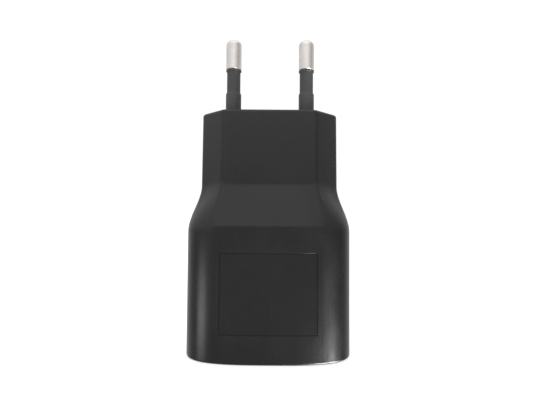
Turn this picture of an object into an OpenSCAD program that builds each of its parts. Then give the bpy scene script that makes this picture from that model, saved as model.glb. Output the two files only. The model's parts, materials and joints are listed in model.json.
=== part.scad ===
// USB wall charger with a two-pin plug face.
// Z runs from the USB end up to the tips of the mains pins, X runs along the pair of pins,
// and the face with the rating label looks towards -Y. The origin is at the middle of the USB end.

/* [Housing] */
// Height of the body, from the USB end to the plug face
body_h = 60.6; // [59:0.1:63]
// Width of the lower block
lower_w = 40.7; // [40:0.1:43]
// Depth of the lower block, front to back
lower_d = 23.4; // [23:0.1:25]
// Fullness of the lower block's outline, where 2 is an ellipse and larger is squarer
lower_fullness = 3.1; // [2.9:0.1:3.6]
// Height at which the front shoulder breaks out of the lower block
shoulder_z = 32.1; // [31.5:0.1:32.5]
// Height at which the shoulder meets the plug section
plug_z = 41.8; // [41.5:0.1:42.2]
// Wall thickness of the shell
wall = 1.6; // [1.4:0.1:1.8]

/* [Plug section] */
// Width of the plug section at the plug face
plug_w = 34.5; // [34:0.1:35.3]
// Depth of the plug section at the plug face
plug_d = 13.7; // [13.5:0.1:13.9]
// Width of the narrow flat at each end of the plug section
end_flat = 2.1; // [2:0.1:2.4]
// Distance between the centres of the mains pins
pin_pitch = 19; // [18.6:0.1:19.2]
// Length of the mains pins beyond the plug face
pin_reach = 19.5; // [18.5:0.1:19.5]
// Diameter of the bare end of a pin
pin_d = 4; // [3.94:0.01:4.06]
// Length of the bare end of a pin
bare_tip = 7.7; // [7.5:0.1:9]
// Diameter of the slim part of an insulating sleeve
slim_d = 3.5; // [3.4:0.1:3.6]
// Height of the thick root of a sleeve above the plug face
sleeve_root = 5.6; // [5:0.1:6]

/* [Label] */
// Width of the label recess
label_w = 23.1; // [22:0.1:24]
// Height of the label recess
label_h = 19.1; // [18:0.1:20]
// Height of the recess's lower edge above the USB end
label_z = 6.7; // [6:0.1:7.5]
// Depth of the label recess
label_depth = 0.2; // [0.15:0.01:0.25]

/* [USB socket] */
// Width of the socket's mouth
port_w = 12.5; // [12.45:0.01:12.55]
// Height of the socket's mouth
port_d = 5.12; // [5.08:0.01:5.16]
// Length of the socket's metal shield
shield_len = 13.8; // [13.6:0.1:14]
// Thickness of the shield's sheet
shield_t = 0.3; // [0.28:0.01:0.32]
// Width of the plastic tongue
tongue_w = 11.1; // [11:0.1:11.2]
// Thickness of the plastic tongue
tongue_t = 1.84; // [1.8:0.01:1.88]

/* [Circuit board] */
// Width of the board in the lower block
board_w = 34; // [33:0.5:34]
// Thickness of the board
board_t = 1.2; // [1:0.1:1.2]
// Height of the board's top edge
board_top = 46.4; // [46:0.1:47]

/* [Hidden] */
$fn = 64;

eps = 0.01;
lap = 0.1;                          // shapes that make one solid overlap by this
clear = 0.03;                       // gap around a piece that is held in another

// Housing
draft = 0.15;                       // each side of the plug section widens by this towards the shoulder
corner_r = 0.9;                     // rounding of the plug section's long corners
edge_r = 0.55;                      // rounding of the edge at the USB end
face_r = 0.8;                       // rounding of the edge at the plug face
face_wall = 2.5;                    // thickness of the wall that holds the pins
cap_t = 2.4;                        // thickness of the USB end cap
cap_inset = 1.1;                    // wall left outside the cap
side_low = shoulder_z - 1.7;        // where the side's curve leaves the lower block
side_high = plug_z + 0.2;           // where the side's curve meets the plug section
inner_drop = 0.4;                   // the inside of the shoulder sits this much lower
inner_r = 0.4;                      // rounding of the long corners on the inside
label_gap = 0.25;                   // gap round the label in its recess
label_t = 0.1;                      // thickness of the label
mouth_lip = 0.25;                   // the cap's mouth is wider than the socket's by this on each side
post_x = 15.4;                      // posts of the cap that grip the lower edge of the board
post_w = 2;
post_d = 1.1;
post_h = 2.6;

// Pins, with the inner end that the contact spring presses on
pin_x = pin_pitch / 2;
tip_z = body_h + pin_reach;
bare_z = tip_z - bare_tip;
shank_d = 3;
stub_z = 50.4;
collar_d = 5;
collar_h = 1;
rim_h = 0.45;                       // height of the sleeve's rim under the bare metal
tip_round = 1.3;
step_h = 0.35;                      // height of the slope where a sleeve narrows
face_inner_z = body_h - face_wall;
spring_t = 0.4;
spring_w = 2.8;

// Board and USB socket: the socket is centred on Y = 0 and its back lies on the board
board_y = port_d / 2 + shield_t + 0.09;
board_back = board_y + board_t;
board_z = 2.8;
neck_w = 22;
neck_z = 30;
neck_slope = 6;
shield_z = 0.75;
shield_top = shield_z + shield_len;
shield_gap = 0.1;                   // gap round the shield in the cap
leg_x = (port_w + shield_t) / 2;
leg_z = [4, 10];                    // heights of the shield's legs
leg_w = 1.2;
leg_reach = 0.9;                    // how far the legs stand out behind the board
grip_x = 3.1;                       // the shield's springs, and the windows they are cut from
grip_w = 1.6;
grip_t = 0.22;
window = [2.6, 5];
window_z = 4;
tongue_y = -0.1;                    // the tongue's face that carries the contacts
tongue_z = 1.8;
block_z = 10.6;                     // where the tongue meets the block at the back of the shield
block_short = 0.2;                  // the block ends this far inside the shield
groove_w = 1.3;                     // grooves that the contacts lie in
groove_y = -1.5;
groove_front = 0.4;
throat_y = -0.95;
throat_d = 0.75;
tail_z = 13.4;
tail_reach = 0.7;                   // how far soldered ends stand out behind the board
blade_w = 1;
blade_t = 0.25;
hinge_y = -0.62;                    // where each blade bends at its root
hinge_z = 10.4;
root_r = 0.15;                      // the round root that a blade bends about
contact_x = [-3.5, -1, 1, 3.5];

// Transformer
core_x = -7.4;
core_y = -2.9;
core_z = 23.4;
core_size = 13.2;
core_depth = 6;
core_gap = 0.02;                    // half the gap between the halves of the core
centre_leg = 3.6;
core_back = 2;
outer_leg = 1.8;
core_window_h = core_size - 2 * core_back;
core_window_w = (core_size - centre_leg) / 2 - outer_leg;
tube_w = centre_leg + 0.1;
tube_d = core_depth + 0.1;
tube_t = 0.5;
flange_t = 0.5;
flange_w = centre_leg + 2 * core_window_w - 0.1;
flange_d = 9.6;
flange_top = core_window_h / 2 - 0.05;
rail_w = 12;
rail_h = 2.6;
rail_z = 5.6;                       // the bobbin's rails, above and below the middle of the core
rail_gap = 0.4;
bobbin_pin_x = [-4.8, -1.6, 1.6, 4.8];
bobbin_pin_z = 5.9;
bobbin_pin_r = 0.3;
tape_t = 0.15;
tape_w = 5;

// Parts with leads: the middle of each in X, and the height of its lower end
lead_r = 0.28;
lead_hole_r = 0.4;
lead_run = 0.8;                     // a lead runs this far before it turns into the board
lead_reach = 0.6;                   // how far leads stand out behind the board
can_spread = 0.22;                  // a can's leads stand this share of its diameter off its axis
input_can_d = 8;
input_can_h = 11.5;
input_can_x = [4.9, 13.3];
input_can_z = 19.4;
output_can_d = 6.3;
output_can_h = 6.7;
output_can_x = [-12.2, 12.2];
output_can_z = 5.3;
barrel_x = [-4.7, 4.7];
barrel_z = 35.2;
barrel_h = 8.4;
disc_x = 10.6;
disc_z = 15.2;
disc_lead_x = 1.6;
disc_above = 3.4;                   // the disc's lower face stands this far off the board

// Every lead's place on the board, as [x, z]
lead_places = concat(
    [for (x = input_can_x, s = [-1, 1]) [x + s * input_can_d * can_spread, input_can_z - lead_run]],
    [for (x = output_can_x, s = [-1, 1]) [x + s * output_can_d * can_spread, output_can_z - lead_run]],
    [for (x = barrel_x, z = [barrel_z - lead_run, barrel_z + barrel_h + lead_run]) [x, z]],
    [for (s = [-1, 1]) [disc_x + s * disc_lead_x, disc_z]],
    [for (x = bobbin_pin_x, s = [-1, 1]) [core_x + x, core_z + s * bobbin_pin_z]]);

// Chips on the back of the board
chip_gap = 0.1;                     // gap under a chip's body
chip_leg_w = 0.4;
chip_leg_t = 0.2;
chip_foot = 0.7;
bridge_z = 35.55;
bridge = [3.9, 2.4, 4.7];
bridge_leg_x = 1.27;
diode_x = -11.5;
diode_z = 10;
diode = [3.6, 2.2, 4.6];
small_chip = [2, 0.6, 1.2];
// Chip resistors and capacitors: [x, z, whether it is turned upright]
chip_places = [[-6.5, 20.6, 0], [-8.5, 24.6, 1], [-4, 27, 0], [9.2, 19.6, 0], [9, 22, 0], [9, 25.5, 1],
               [12, 29, 0], [-11, 29, 1], [-7, 33, 0], [-3, 38, 1], [5, 38, 0], [12, 13, 1]];

// ---------- outline functions ----------

function arc(c, r, a0, a1, n) =
    [for (i = [0:n]) let (a = a0 + (a1 - a0) * i / n) c + r * [cos(a), sin(a)]];
function mix(a, b, t) = a + (b - a) * t;
function between(a, b, n) = [for (i = [1:n]) mix(a, b, i / (n + 1))];
function clamp(t) = max(0, min(1, t));
function ease(t) = let (u = clamp(t)) u * u * (3 - 2 * u);

// One quarter of the lower block's outline, moved in by t: points on a squared oval at set angles
quarter_angles = concat([0], [for (i = [0:3]) 10 + 2 * i], [for (i = [1:3]) 16 + 4.5 * i],
                        [for (i = [0:3]) 34 + 2 * i], [for (i = [1:4]) 40 + 10 * i], [90]);
function oval_point(a, t) =
    let (w = lower_w / 2 - t, d = lower_d / 2 - t, n = lower_fullness,
         x = cos(a), y = sin(a), k = pow(pow(x / w, n) + pow(y / d, n), -1 / n))
    [k * x, k * y];
function lower_quarter(t) = [for (a = quarter_angles) oval_point(a, t)];

// One quarter of the plug section's eight-sided outline, moved in by t, with its corners rounded by r
function plug_quarter(t, r) =
    let (w = plug_w / 2 - t, d = plug_d / 2 - t, y0 = end_flat / 2 - t * (sqrt(2) - 1),
         x1 = w - (d - y0), s = r * tan(22.5),
         low = arc([w - r, y0 - s], r, 0, 45, 3), high = arc([x1 - s, d - r], r, 45, 90, 3))
    concat([[w, 0]], low, between(low[3], high[0], 3), high, between(high[3], [0, d], 4), [[0, d]]);

// How far a point has moved from the lower outline to the plug outline at height z:
// straight on the front and back, and an S curve on the sides
function front_share(i) = clamp((i - 4) / 4);
function blend(i, z) = mix(ease((z - side_low) / (side_high - side_low)),
                           clamp((z - shoulder_z) / (plug_z - shoulder_z)), front_share(i));

// One quarter of the body's outline at height z, moved in by t
function body_quarter(z, t, r) =
    let (grow = draft * clamp((body_h - z) / (body_h - plug_z)),
         low = lower_quarter(t), plug = plug_quarter(t - grow, r))
    [for (i = [0:len(low) - 1]) mix(low[i], plug[i], blend(i, z))];

function mirror_ring(q) =
    let (n = len(q) - 1)
    concat(q,
           [for (i = [1:n]) [-q[n - i][0], q[n - i][1]]],
           [for (i = [1:n]) [-q[i][0], -q[i][1]]],
           [for (i = [1:n - 1]) [q[n - i][0], -q[n - i][1]]]);
function at_height(ring, z) = [for (p = ring) [p[0], p[1], z]];

// Rings up the outside: [height, how far the ring is moved in]
outer_levels = concat(
    [[0, edge_r], [edge_r * 0.3, edge_r * 0.29], [edge_r, 0], [side_low, 0], [shoulder_z - 0.8, 0],
     [shoulder_z, 0]],
    [for (z = between(shoulder_z, plug_z, 6)) [z, 0]],
    [[plug_z, 0], [side_high, 0], [body_h - face_r, 0], [body_h - face_r * 0.3, face_r * 0.29],
     [body_h, face_r]]);
// Rings down the inside
inner_low = shoulder_z - inner_drop;
inner_high = plug_z - inner_drop;
inner_levels = concat(
    [[0, cap_inset], [cap_t, cap_inset], [cap_t, wall], [inner_low - 1.6, wall], [inner_low, wall]],
    [for (z = between(inner_low, inner_high, 4)) [z, wall]],
    [[inner_high, wall], [face_inner_z, wall]]);

outer_rings = [for (l = outer_levels)
    at_height(mirror_ring(body_quarter(l[0], l[1], corner_r)), l[0])];
inner_rings = [for (l = inner_levels) let (drop = l[0] > cap_t + eps ? inner_drop : 0)
    at_height(mirror_ring(body_quarter(l[0] + drop, l[1], inner_r)), l[0])];

// Triangles between two rings of n points that start at a and b
function band(a, b, n) = [for (i = [0:n - 1]) let (j = (i + 1) % n)
    each [[a + i, b + j, a + j], [a + i, b + i, b + j]]];
function flipped(faces) = [for (f = faces) [f[0], f[2], f[1]]];

function ribbon_side(path, i) =
    let (a = path[max(i - 1, 0)], b = path[min(i + 1, len(path) - 1)], d = (b - a) / norm(b - a))
    [-d[1], d[0]];
// Outline of a strip of even thickness t that follows a path
function ribbon(path, t) =
    concat([for (i = [0:len(path) - 1]) path[i] + ribbon_side(path, i) * t / 2],
           [for (i = [len(path) - 1:-1:0]) path[i] - ribbon_side(path, i) * t / 2]);

// ---------- shared shapes ----------

// A box given by its lowest corner and its size
module box_at(corner, size) {
    translate(corner) cube(size);
}

// An outline in Y and Z, given thickness w along X and centred on x
module across_x(x, w) {
    translate([x - w / 2, 0, 0]) rotate([90, 0, 90]) linear_extrude(w) children();
}

// An outline in X and Z, given thickness along Y from y to y + d
module along_y(y, d) {
    translate([0, y + d, 0]) rotate([90, 0, 0]) linear_extrude(d) children();
}

module rounded_bar(w, d, r, h) {
    linear_extrude(h) {
        square([w - 2 * r, d], center = true);
        square([w, d - 2 * r], center = true);
        for (x = [-1, 1], y = [-1, 1]) translate([x * (w / 2 - r), y * (d / 2 - r)]) circle(r);
    }
}

module rod(a, b, r) {
    v = b - a;
    translate(a) rotate([0, acos(v[2] / norm(v)), atan2(v[1], v[0])]) cylinder(h = norm(v), r = r);
}

// A lead that leaves a part along Z, up or down, and turns into the board
module bent_lead(from, run) {
    corner = from + [0, 0, run];
    rod(from - [0, 0, sign(run) * lap], corner, lead_r);
    rod(corner, [corner[0], board_back + lead_reach, corner[2]], lead_r);
    translate(corner) sphere(lead_r);
}

// ---------- housing ----------

module shell_body() {
    n = len(outer_rings[0]);
    no = len(outer_rings);
    ni = len(inner_rings);
    inner0 = no * n;
    top = inner0 + (ni - 1) * n;
    polyhedron(
        points = concat([for (r = outer_rings) each r], [for (r = inner_rings) each r]),
        faces = concat(
            [for (k = [0:no - 2]) each band(k * n, (k + 1) * n, n)],
            [for (i = [1:n - 2]) [(no - 1) * n, (no - 1) * n + i + 1, (no - 1) * n + i]],
            flipped([for (k = [0:ni - 2]) each band(inner0 + k * n, inner0 + (k + 1) * n, n)]),
            flipped([for (i = [1:n - 2]) [top, top + i + 1, top + i]]),
            flipped(band(0, inner0, n))));
}

// The lower block's front as a line of points, moved in by t
function front_line(t, w) =
    let (n = lower_fullness, hw = lower_w / 2 - t, hd = lower_d / 2 - t, steps = 12)
    [for (i = [0:steps]) let (x = -w / 2 + w * i / steps) [x, -hd * pow(1 - pow(abs(x) / hw, n), 1 / n)]];
function backwards(line) = [for (i = [len(line) - 1:-1:0]) line[i]];

module housing_shell() {
    color("#2b2b2c") difference() {
        shell_body();
        for (x = [-pin_x, pin_x]) translate([x, 0, face_inner_z - 1])
            cylinder(h = face_wall + 2, d = pin_d + 2 * clear);
        translate([0, 0, label_z]) linear_extrude(label_h)
            polygon(concat(front_line(label_depth, label_w),
                           [[label_w / 2, -lower_d], [-label_w / 2, -lower_d]]));
    }
}

module rating_label() {
    w = label_w - 2 * label_gap;
    color("#242425") translate([0, 0, label_z + label_gap]) linear_extrude(label_h - 2 * label_gap)
        polygon(concat(front_line(label_depth - eps, w), backwards(front_line(label_depth - label_t, w))));
}

module usb_end_cap() {
    pocket_w = port_w + 2 * (shield_t + shield_gap);
    pocket_d = port_d + 2 * (shield_t + shield_gap);
    color("#2b2b2c") {
        difference() {
            linear_extrude(cap_t) polygon(mirror_ring(lower_quarter(cap_inset + clear)));
            translate([0, 0, -1]) rounded_bar(port_w + 2 * mouth_lip, port_d + 2 * mouth_lip, 0.7, 2);
            box_at([-pocket_w / 2, -pocket_d / 2, shield_z - 0.05], [pocket_w, pocket_d, cap_t]);
        }
        for (x = [-post_x, post_x], y = [board_y - post_d - clear, board_back + clear])
            box_at([x - post_w / 2, y, cap_t - eps], [post_w, post_d, post_h]);
    }
}

// ---------- mains pins ----------

module pin_at(x) {
    collar_top = face_inner_z - clear;
    rounding = arc([pin_d / 2 - tip_round, tip_z - tip_round], tip_round, 0, 90, 12);
    color("#c9c4bd") translate([x, 0, 0]) rotate_extrude()
        polygon(concat([[0, stub_z], [shank_d / 2, stub_z],
                        [shank_d / 2, collar_top - collar_h], [collar_d / 2, collar_top - collar_h],
                        [collar_d / 2, collar_top], [shank_d / 2, collar_top],
                        [shank_d / 2, bare_z], [pin_d / 2, bare_z]],
                       rounding, [[0, tip_z]]));
}
module pin_left() { pin_at(-pin_x); }
module pin_right() { pin_at(pin_x); }

module sleeve_at(x) {
    step_z = body_h + sleeve_root;
    bore = shank_d / 2 + clear;
    color("#4c4c4e") translate([x, 0, 0]) rotate_extrude()
        polygon([[bore, face_inner_z + clear], [pin_d / 2, face_inner_z + clear],
                 [pin_d / 2, step_z - step_h / 2], [slim_d / 2, step_z + step_h / 2],
                 [slim_d / 2, bare_z - rim_h - 0.1], [pin_d / 2, bare_z - rim_h],
                 [pin_d / 2, bare_z - clear], [bore, bare_z - clear]]);
}
module sleeve_left() { sleeve_at(-pin_x); }
module sleeve_right() { sleeve_at(pin_x); }

// A spring strip: soldered flat on the board, then standing off it to press on the pin's inner end
module pin_contact_at(x) {
    foot_y = board_y - spring_t / 2 - clear;
    press_y = shank_d / 2 + spring_t / 2 + clear;
    path = [[foot_y, 41.4], [foot_y, 45.2], [foot_y - 0.1, 46.2],
            [press_y, 50.6], [press_y, 53.4], [press_y + 0.5, 55]];
    color("#b98d4a") across_x(x, spring_w) polygon(ribbon(path, spring_t));
}
module pin_contact_left() { pin_contact_at(-pin_x); }
module pin_contact_right() { pin_contact_at(pin_x); }

// ---------- board ----------

module main_board() {
    through = board_t + 2;
    slot = [shield_t + 0.4, leg_w + 0.4];
    tail_slot = [blade_w + 0.1, 0.6];
    color("#2f6b46") difference() {
        along_y(board_y, board_t) polygon([
            [-board_w / 2, board_z], [board_w / 2, board_z], [board_w / 2, neck_z],
            [neck_w / 2, neck_z + neck_slope], [neck_w / 2, board_top], [-neck_w / 2, board_top],
            [-neck_w / 2, neck_z + neck_slope], [-board_w / 2, neck_z]]);
        for (x = [-leg_x, leg_x], z = leg_z)
            box_at([x - slot[0] / 2, board_y - 1, z - 0.2], [slot[0], through, slot[1]]);
        for (x = contact_x)
            box_at([x - tail_slot[0] / 2, board_y - 1, tail_z - tail_slot[1] / 2],
                   [tail_slot[0], through, tail_slot[1]]);
        for (p = lead_places) rod([p[0], board_y - 1, p[1]], [p[0], board_back + 1, p[1]], lead_hole_r);
    }
}

// ---------- USB socket ----------

module usb_shield() {
    outer_w = port_w + 2 * shield_t;
    outer_d = port_d + 2 * shield_t;
    color("#b9bcc0") {
        difference() {
            translate([0, 0, shield_z]) rounded_bar(outer_w, outer_d, 0.6, shield_len);
            translate([0, 0, shield_z - 1]) rounded_bar(port_w, port_d, 0.35, shield_len + 2);
            for (x = [-grip_x, grip_x])
                box_at([x - window[0] / 2, -port_d, window_z], [window[0], port_d, window[1]]);
            // An open way for the contact tails
            box_at([-4.3, 1, tail_z - 0.5], [8.6, 4, 3]);
        }
        // Springs that hold the plug, standing a little into the mouth
        for (x = [-grip_x, grip_x]) translate([0, -port_d / 2, window_z]) across_x(x, grip_w)
            polygon(ribbon([[-0.15, window[1] + eps], [-0.12, 3.6], [0.16, 1.6], [-0.1, 0.3]], grip_t));
        for (x = [-leg_x, leg_x], z = leg_z)
            box_at([x - shield_t / 2, port_d / 2 - 0.5, z],
                   [shield_t, board_back + leg_reach - port_d / 2, leg_w]);
    }
}

module usb_tongue() {
    tongue_h = block_z - tongue_z;
    block_h = shield_top - block_z - block_short;
    color("#e8e6df") difference() {
        union() {
            box_at([-tongue_w / 2, tongue_y - tongue_t, tongue_z], [tongue_w, tongue_t, tongue_h + eps]);
            translate([0, 0, block_z]) rounded_bar(port_w - 2 * clear, port_d - 2 * clear, 0.35, block_h);
        }
        for (x = contact_x) translate([x - groove_w / 2, 0, 0]) {
            box_at([0, groove_y, tongue_z + groove_front], [groove_w, 2, tongue_h - groove_front]);
            box_at([0, throat_y, block_z - eps], [groove_w, throat_d, tail_z + 0.3 - block_z]);
            box_at([0, throat_y, tail_z - 0.25], [groove_w, port_d, 0.55]);
        }
    }
}

// The moving part of a contact: a blade that bends at its root and carries the rounded contact point
module contact_blade(x) {
    path = [[hinge_y, hinge_z], [-0.3, 7.2], [0.06, 5.3], [0.15, 4.9], [0.17, 4.6], [0.15, 4.3],
            [0.06, 3.9], [-0.5, 2.9], [-0.62, 2.5]];
    color("#d9a93f") {
        across_x(x, blade_w) polygon(ribbon(path, blade_t));
        rod([x - blade_w / 2, hinge_y, hinge_z], [x + blade_w / 2, hinge_y, hinge_z], root_r);
    }
}
module usb_contact_1() { contact_blade(contact_x[0]); }
module usb_contact_2() { contact_blade(contact_x[1]); }
module usb_contact_3() { contact_blade(contact_x[2]); }
module usb_contact_4() { contact_blade(contact_x[3]); }

// The fixed part of each contact: back through the block, then down through the board
module usb_contact_tails() {
    color("#d9a93f") for (x = contact_x) translate([x - blade_w / 2, hinge_y - blade_t / 2, 0]) {
        box_at([0, 0, block_z + 0.1], [blade_w, blade_t, tail_z - block_z]);
        box_at([0, 0, tail_z - blade_t / 2], [blade_w, board_back + tail_reach - hinge_y, blade_t]);
    }
}

// ---------- transformer ----------

// One E-shaped half of the core: its back is at the top and its three legs point down to the middle
module core_half(up) {
    h = core_size / 2;
    color("#3c3a3b") translate([core_x, 0, core_z]) mirror([0, 0, up ? 0 : 1])
        along_y(core_y - core_depth / 2, core_depth) difference() {
            translate([-h, core_gap]) square([core_size, h - core_gap]);
            for (s = [-1, 1]) translate([s * (centre_leg + core_window_w) / 2, core_window_h / 4])
                square([core_window_w, core_window_h / 2], center = true);
        }
}
module transformer_core_upper() { core_half(true); }
module transformer_core_lower() { core_half(false); }

module ring_bar(w, d, hole_w, hole_d, h) {
    linear_extrude(h) difference() {
        square([w, d], center = true);
        square([hole_w, hole_d], center = true);
    }
}

module transformer_bobbin() {
    rail_y = core_depth / 2 + 0.1;
    rail_d = board_y - core_y - rail_y - rail_gap;
    color("#1f1f22") translate([core_x, core_y, core_z]) {
        translate([0, 0, -flange_top])
            ring_bar(tube_w + 2 * tube_t, tube_d + 2 * tube_t, tube_w, tube_d, 2 * flange_top);
        for (z = [-flange_top, flange_top - flange_t]) translate([0, 0, z])
            ring_bar(flange_w, flange_d, tube_w, tube_d, flange_t);
        // Rails that carry the pins, and the pins through the board
        for (s = [-1, 1]) {
            box_at([-rail_w / 2, rail_y, s * rail_z - rail_h / 2], [rail_w, rail_d, rail_h]);
            for (x = bobbin_pin_x)
                rod([x, rail_y + 1, s * bobbin_pin_z],
                    [x, board_back + tail_reach - core_y, s * bobbin_pin_z], bobbin_pin_r);
        }
    }
}

module transformer_winding() {
    h = 2 * (flange_top - flange_t - clear);
    color("#b5651d") translate([core_x, core_y, core_z - h / 2])
        ring_bar(flange_w - 0.3, flange_d - 0.5,
                 tube_w + 2 * (tube_t + clear), tube_d + 2 * (tube_t + clear), h);
}

module transformer_tape() {
    inner = core_size + 2 * clear;
    color("#e3c23c") along_y(core_y - tape_w / 2, tape_w) translate([core_x, core_z]) difference() {
        square(inner + 2 * tape_t, center = true);
        square(inner, center = true);
    }
}

// ---------- parts on the board ----------

// An electrolytic capacitor lying along Z, with its rolled groove near the lead end and both leads
module can_capacitor(x, z, d, h, shade) {
    r = d / 2;
    y = board_y - r - 0.25;
    profile = [[0, 0], [r - 0.3, 0], [r, 0.3], [r, 1.1], [r - 0.35, 1.5], [r, 1.9],
               [r, h - 0.4], [r - 0.4, h], [r - 0.9, h], [r - 1, h - 0.15], [0, h - 0.15]];
    color(shade) {
        translate([x, y, z]) rotate_extrude() polygon(profile);
        for (s = [-1, 1]) bent_lead([x + s * d * can_spread, y, z], -lead_run);
    }
}
module input_capacitor_left() {
    can_capacitor(input_can_x[0], input_can_z, input_can_d, input_can_h, "#20242c");
}
module input_capacitor_right() {
    can_capacitor(input_can_x[1], input_can_z, input_can_d, input_can_h, "#20242c");
}
module output_capacitor_left() {
    can_capacitor(output_can_x[0], output_can_z, output_can_d, output_can_h, "#2a3f63");
}
module output_capacitor_right() {
    can_capacitor(output_can_x[1], output_can_z, output_can_d, output_can_h, "#2a3f63");
}

module bridge_rectifier() {
    color("#232325") {
        box_at([-bridge[0] / 2, board_y - chip_gap - bridge[1], bridge_z - bridge[2] / 2], bridge);
        for (x = [-bridge_leg_x, bridge_leg_x], s = [-1, 1]) translate([x - 0.3, board_y, bridge_z]) {
            box_at([0, -0.25, s * 2.7 - 0.45], [0.6, 0.2, 0.9]);
            box_at([0, -1.2, s * 2.35 - 0.1], [0.6, 1.1, 0.2]);
        }
    }
}

// A part with a round barrel along Z and a lead at each end
module barrel_part(x, d, waist) {
    r = d / 2;
    h = barrel_h;
    y = board_y - r - 0.3;
    profile = [[0, 0], [r - 0.25, 0], [r, 0.3], [r, 1.5], [r - waist, 1.9],
               [r - waist, h - 1.9], [r, h - 1.5], [r, h - 0.3], [r - 0.25, h], [0, h]];
    translate([x, y, barrel_z]) rotate_extrude() polygon(profile);
    bent_lead([x, y, barrel_z], -lead_run);
    bent_lead([x, y, barrel_z + h], lead_run);
}
module fusible_resistor() { color("#5b7f54") barrel_part(barrel_x[0], 3, 0.25); }
module input_choke() { color("#3d5c3a") barrel_part(barrel_x[1], 3.6, 0.5); }

module y_capacitor() {
    profile = [[0, 0], [2, 0], [2.7, 0.5], [2.9, 1.3], [2.7, 2.1], [2, 2.6], [0, 2.6]];
    color("#2f5aa8") translate([disc_x, 0, disc_z]) {
        translate([0, board_y - disc_above, 0]) rotate([-90, 0, 0]) rotate_extrude() polygon(profile);
        for (x = [-disc_lead_x, disc_lead_x])
            rod([x, board_y - disc_above + 2, 0], [x, board_back + lead_reach, 0], lead_r);
    }
}

// A moulded chip on the back of the board, with a row of legs along each long side
module gull_chip(x, z, w, h, t, legs, pitch) {
    color("#1d1d1f") translate([x, board_back + chip_gap, z]) {
        box_at([-w / 2, 0, -h / 2], [w, t, h]);
        for (i = [0:legs - 1], s = [0, 1])
            translate([0, 0, (i - (legs - 1) / 2) * pitch]) mirror([s, 0, 0])
                translate([w / 2, 0, -chip_leg_w / 2]) {
                    box_at([-0.1, t / 2 - chip_leg_t / 2, 0], [0.5, chip_leg_t, chip_leg_w]);
                    box_at([0.2, -0.07, 0], [chip_leg_t, t / 2 + 0.1, chip_leg_w]);
                    box_at([0.2, -0.07, 0], [chip_foot, chip_leg_t, chip_leg_w]);
                }
    }
}
module controller_chip() { gull_chip(4, 31, 3.9, 4.9, 1.5, 4, 1.27); }
module optocoupler() { gull_chip(0, 21, 4.4, 4, 2, 2, 2.54); }

module output_diode() {
    color("#1d1d1f") translate([diode_x, board_back + chip_gap, diode_z]) {
        box_at([-diode[0] / 2, 0, -diode[2] / 2], diode);
        for (s = [-1, 1]) box_at([-1.1, -0.07, s * 2.35 - 0.45], [2.2, 0.6, 0.9]);
    }
}

module chip_parts() {
    color("#8a7f70") for (p = chip_places)
        translate([p[0], board_back + clear, p[1]]) rotate([0, p[2] * 90, 0])
            translate([-small_chip[0] / 2, 0, -small_chip[2] / 2]) cube(small_chip);
}

housing_shell();
usb_end_cap();
rating_label();
pin_left();
pin_right();
sleeve_left();
sleeve_right();
pin_contact_left();
pin_contact_right();
main_board();
usb_shield();
usb_tongue();
usb_contact_tails();
usb_contact_1();
usb_contact_2();
usb_contact_3();
usb_contact_4();
transformer_core_upper();
transformer_core_lower();
transformer_bobbin();
transformer_winding();
transformer_tape();
input_capacitor_left();
input_capacitor_right();
output_capacitor_left();
output_capacitor_right();
bridge_rectifier();
fusible_resistor();
input_choke();
y_capacitor();
controller_chip();
optocoupler();
output_diode();
chip_parts();
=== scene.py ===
"""Looks of a two-pin USB wall charger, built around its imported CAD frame.

The outer pieces (shell, end cap, label, pins, sleeves and the USB socket) are modelled here in metres
over their CAD nodes. The parts inside keep their CAD shapes and get finishes of their own.
"""

import json
import logging
import math
from contextlib import contextmanager
from dataclasses import dataclass, field
from enum import Enum
from typing import Callable, Iterator, Sequence

import bmesh
import bpy
from mathutils import Matrix, Quaternion, Vector


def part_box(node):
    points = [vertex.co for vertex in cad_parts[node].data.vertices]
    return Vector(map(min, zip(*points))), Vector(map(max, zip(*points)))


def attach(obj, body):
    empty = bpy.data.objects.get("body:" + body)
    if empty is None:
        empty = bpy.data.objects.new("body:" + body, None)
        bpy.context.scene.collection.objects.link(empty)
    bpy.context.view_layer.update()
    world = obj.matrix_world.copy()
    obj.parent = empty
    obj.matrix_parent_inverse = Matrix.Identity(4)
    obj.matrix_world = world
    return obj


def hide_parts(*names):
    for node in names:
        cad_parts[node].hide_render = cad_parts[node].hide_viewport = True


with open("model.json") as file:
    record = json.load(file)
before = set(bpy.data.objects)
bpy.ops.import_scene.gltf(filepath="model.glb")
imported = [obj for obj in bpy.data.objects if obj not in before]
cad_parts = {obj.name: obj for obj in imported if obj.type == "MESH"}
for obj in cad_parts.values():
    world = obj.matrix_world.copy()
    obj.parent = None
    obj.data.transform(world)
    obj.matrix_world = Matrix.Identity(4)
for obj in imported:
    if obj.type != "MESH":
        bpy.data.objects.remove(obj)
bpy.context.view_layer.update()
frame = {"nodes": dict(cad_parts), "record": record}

MM = 0.001
TURN = math.tau
BODY = "charger"
LOG = logging.getLogger("charger")

Point = tuple[float, float]
Ring = list[Vector]
Colour = tuple[float, float, float]


# ---------------------------------------------------------------- outlines


def mix(a: float, b: float, share: float) -> float:
    """Returns the value a given share of the way from a to b."""
    return a + (b - a) * share


def between(a: Point, b: Point, count: int) -> list[Point]:
    """Spaces points evenly inside a straight stretch.

    Args:
        a: Start of the stretch, which isn't returned.
        b: End of the stretch, which isn't returned.
        count: Number of points.

    Returns:
        The inner points, in order from a to b.
    """
    shares = [i / (count + 1) for i in range(1, count + 1)]
    return [(mix(a[0], b[0], s), mix(a[1], b[1], s)) for s in shares]


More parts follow.
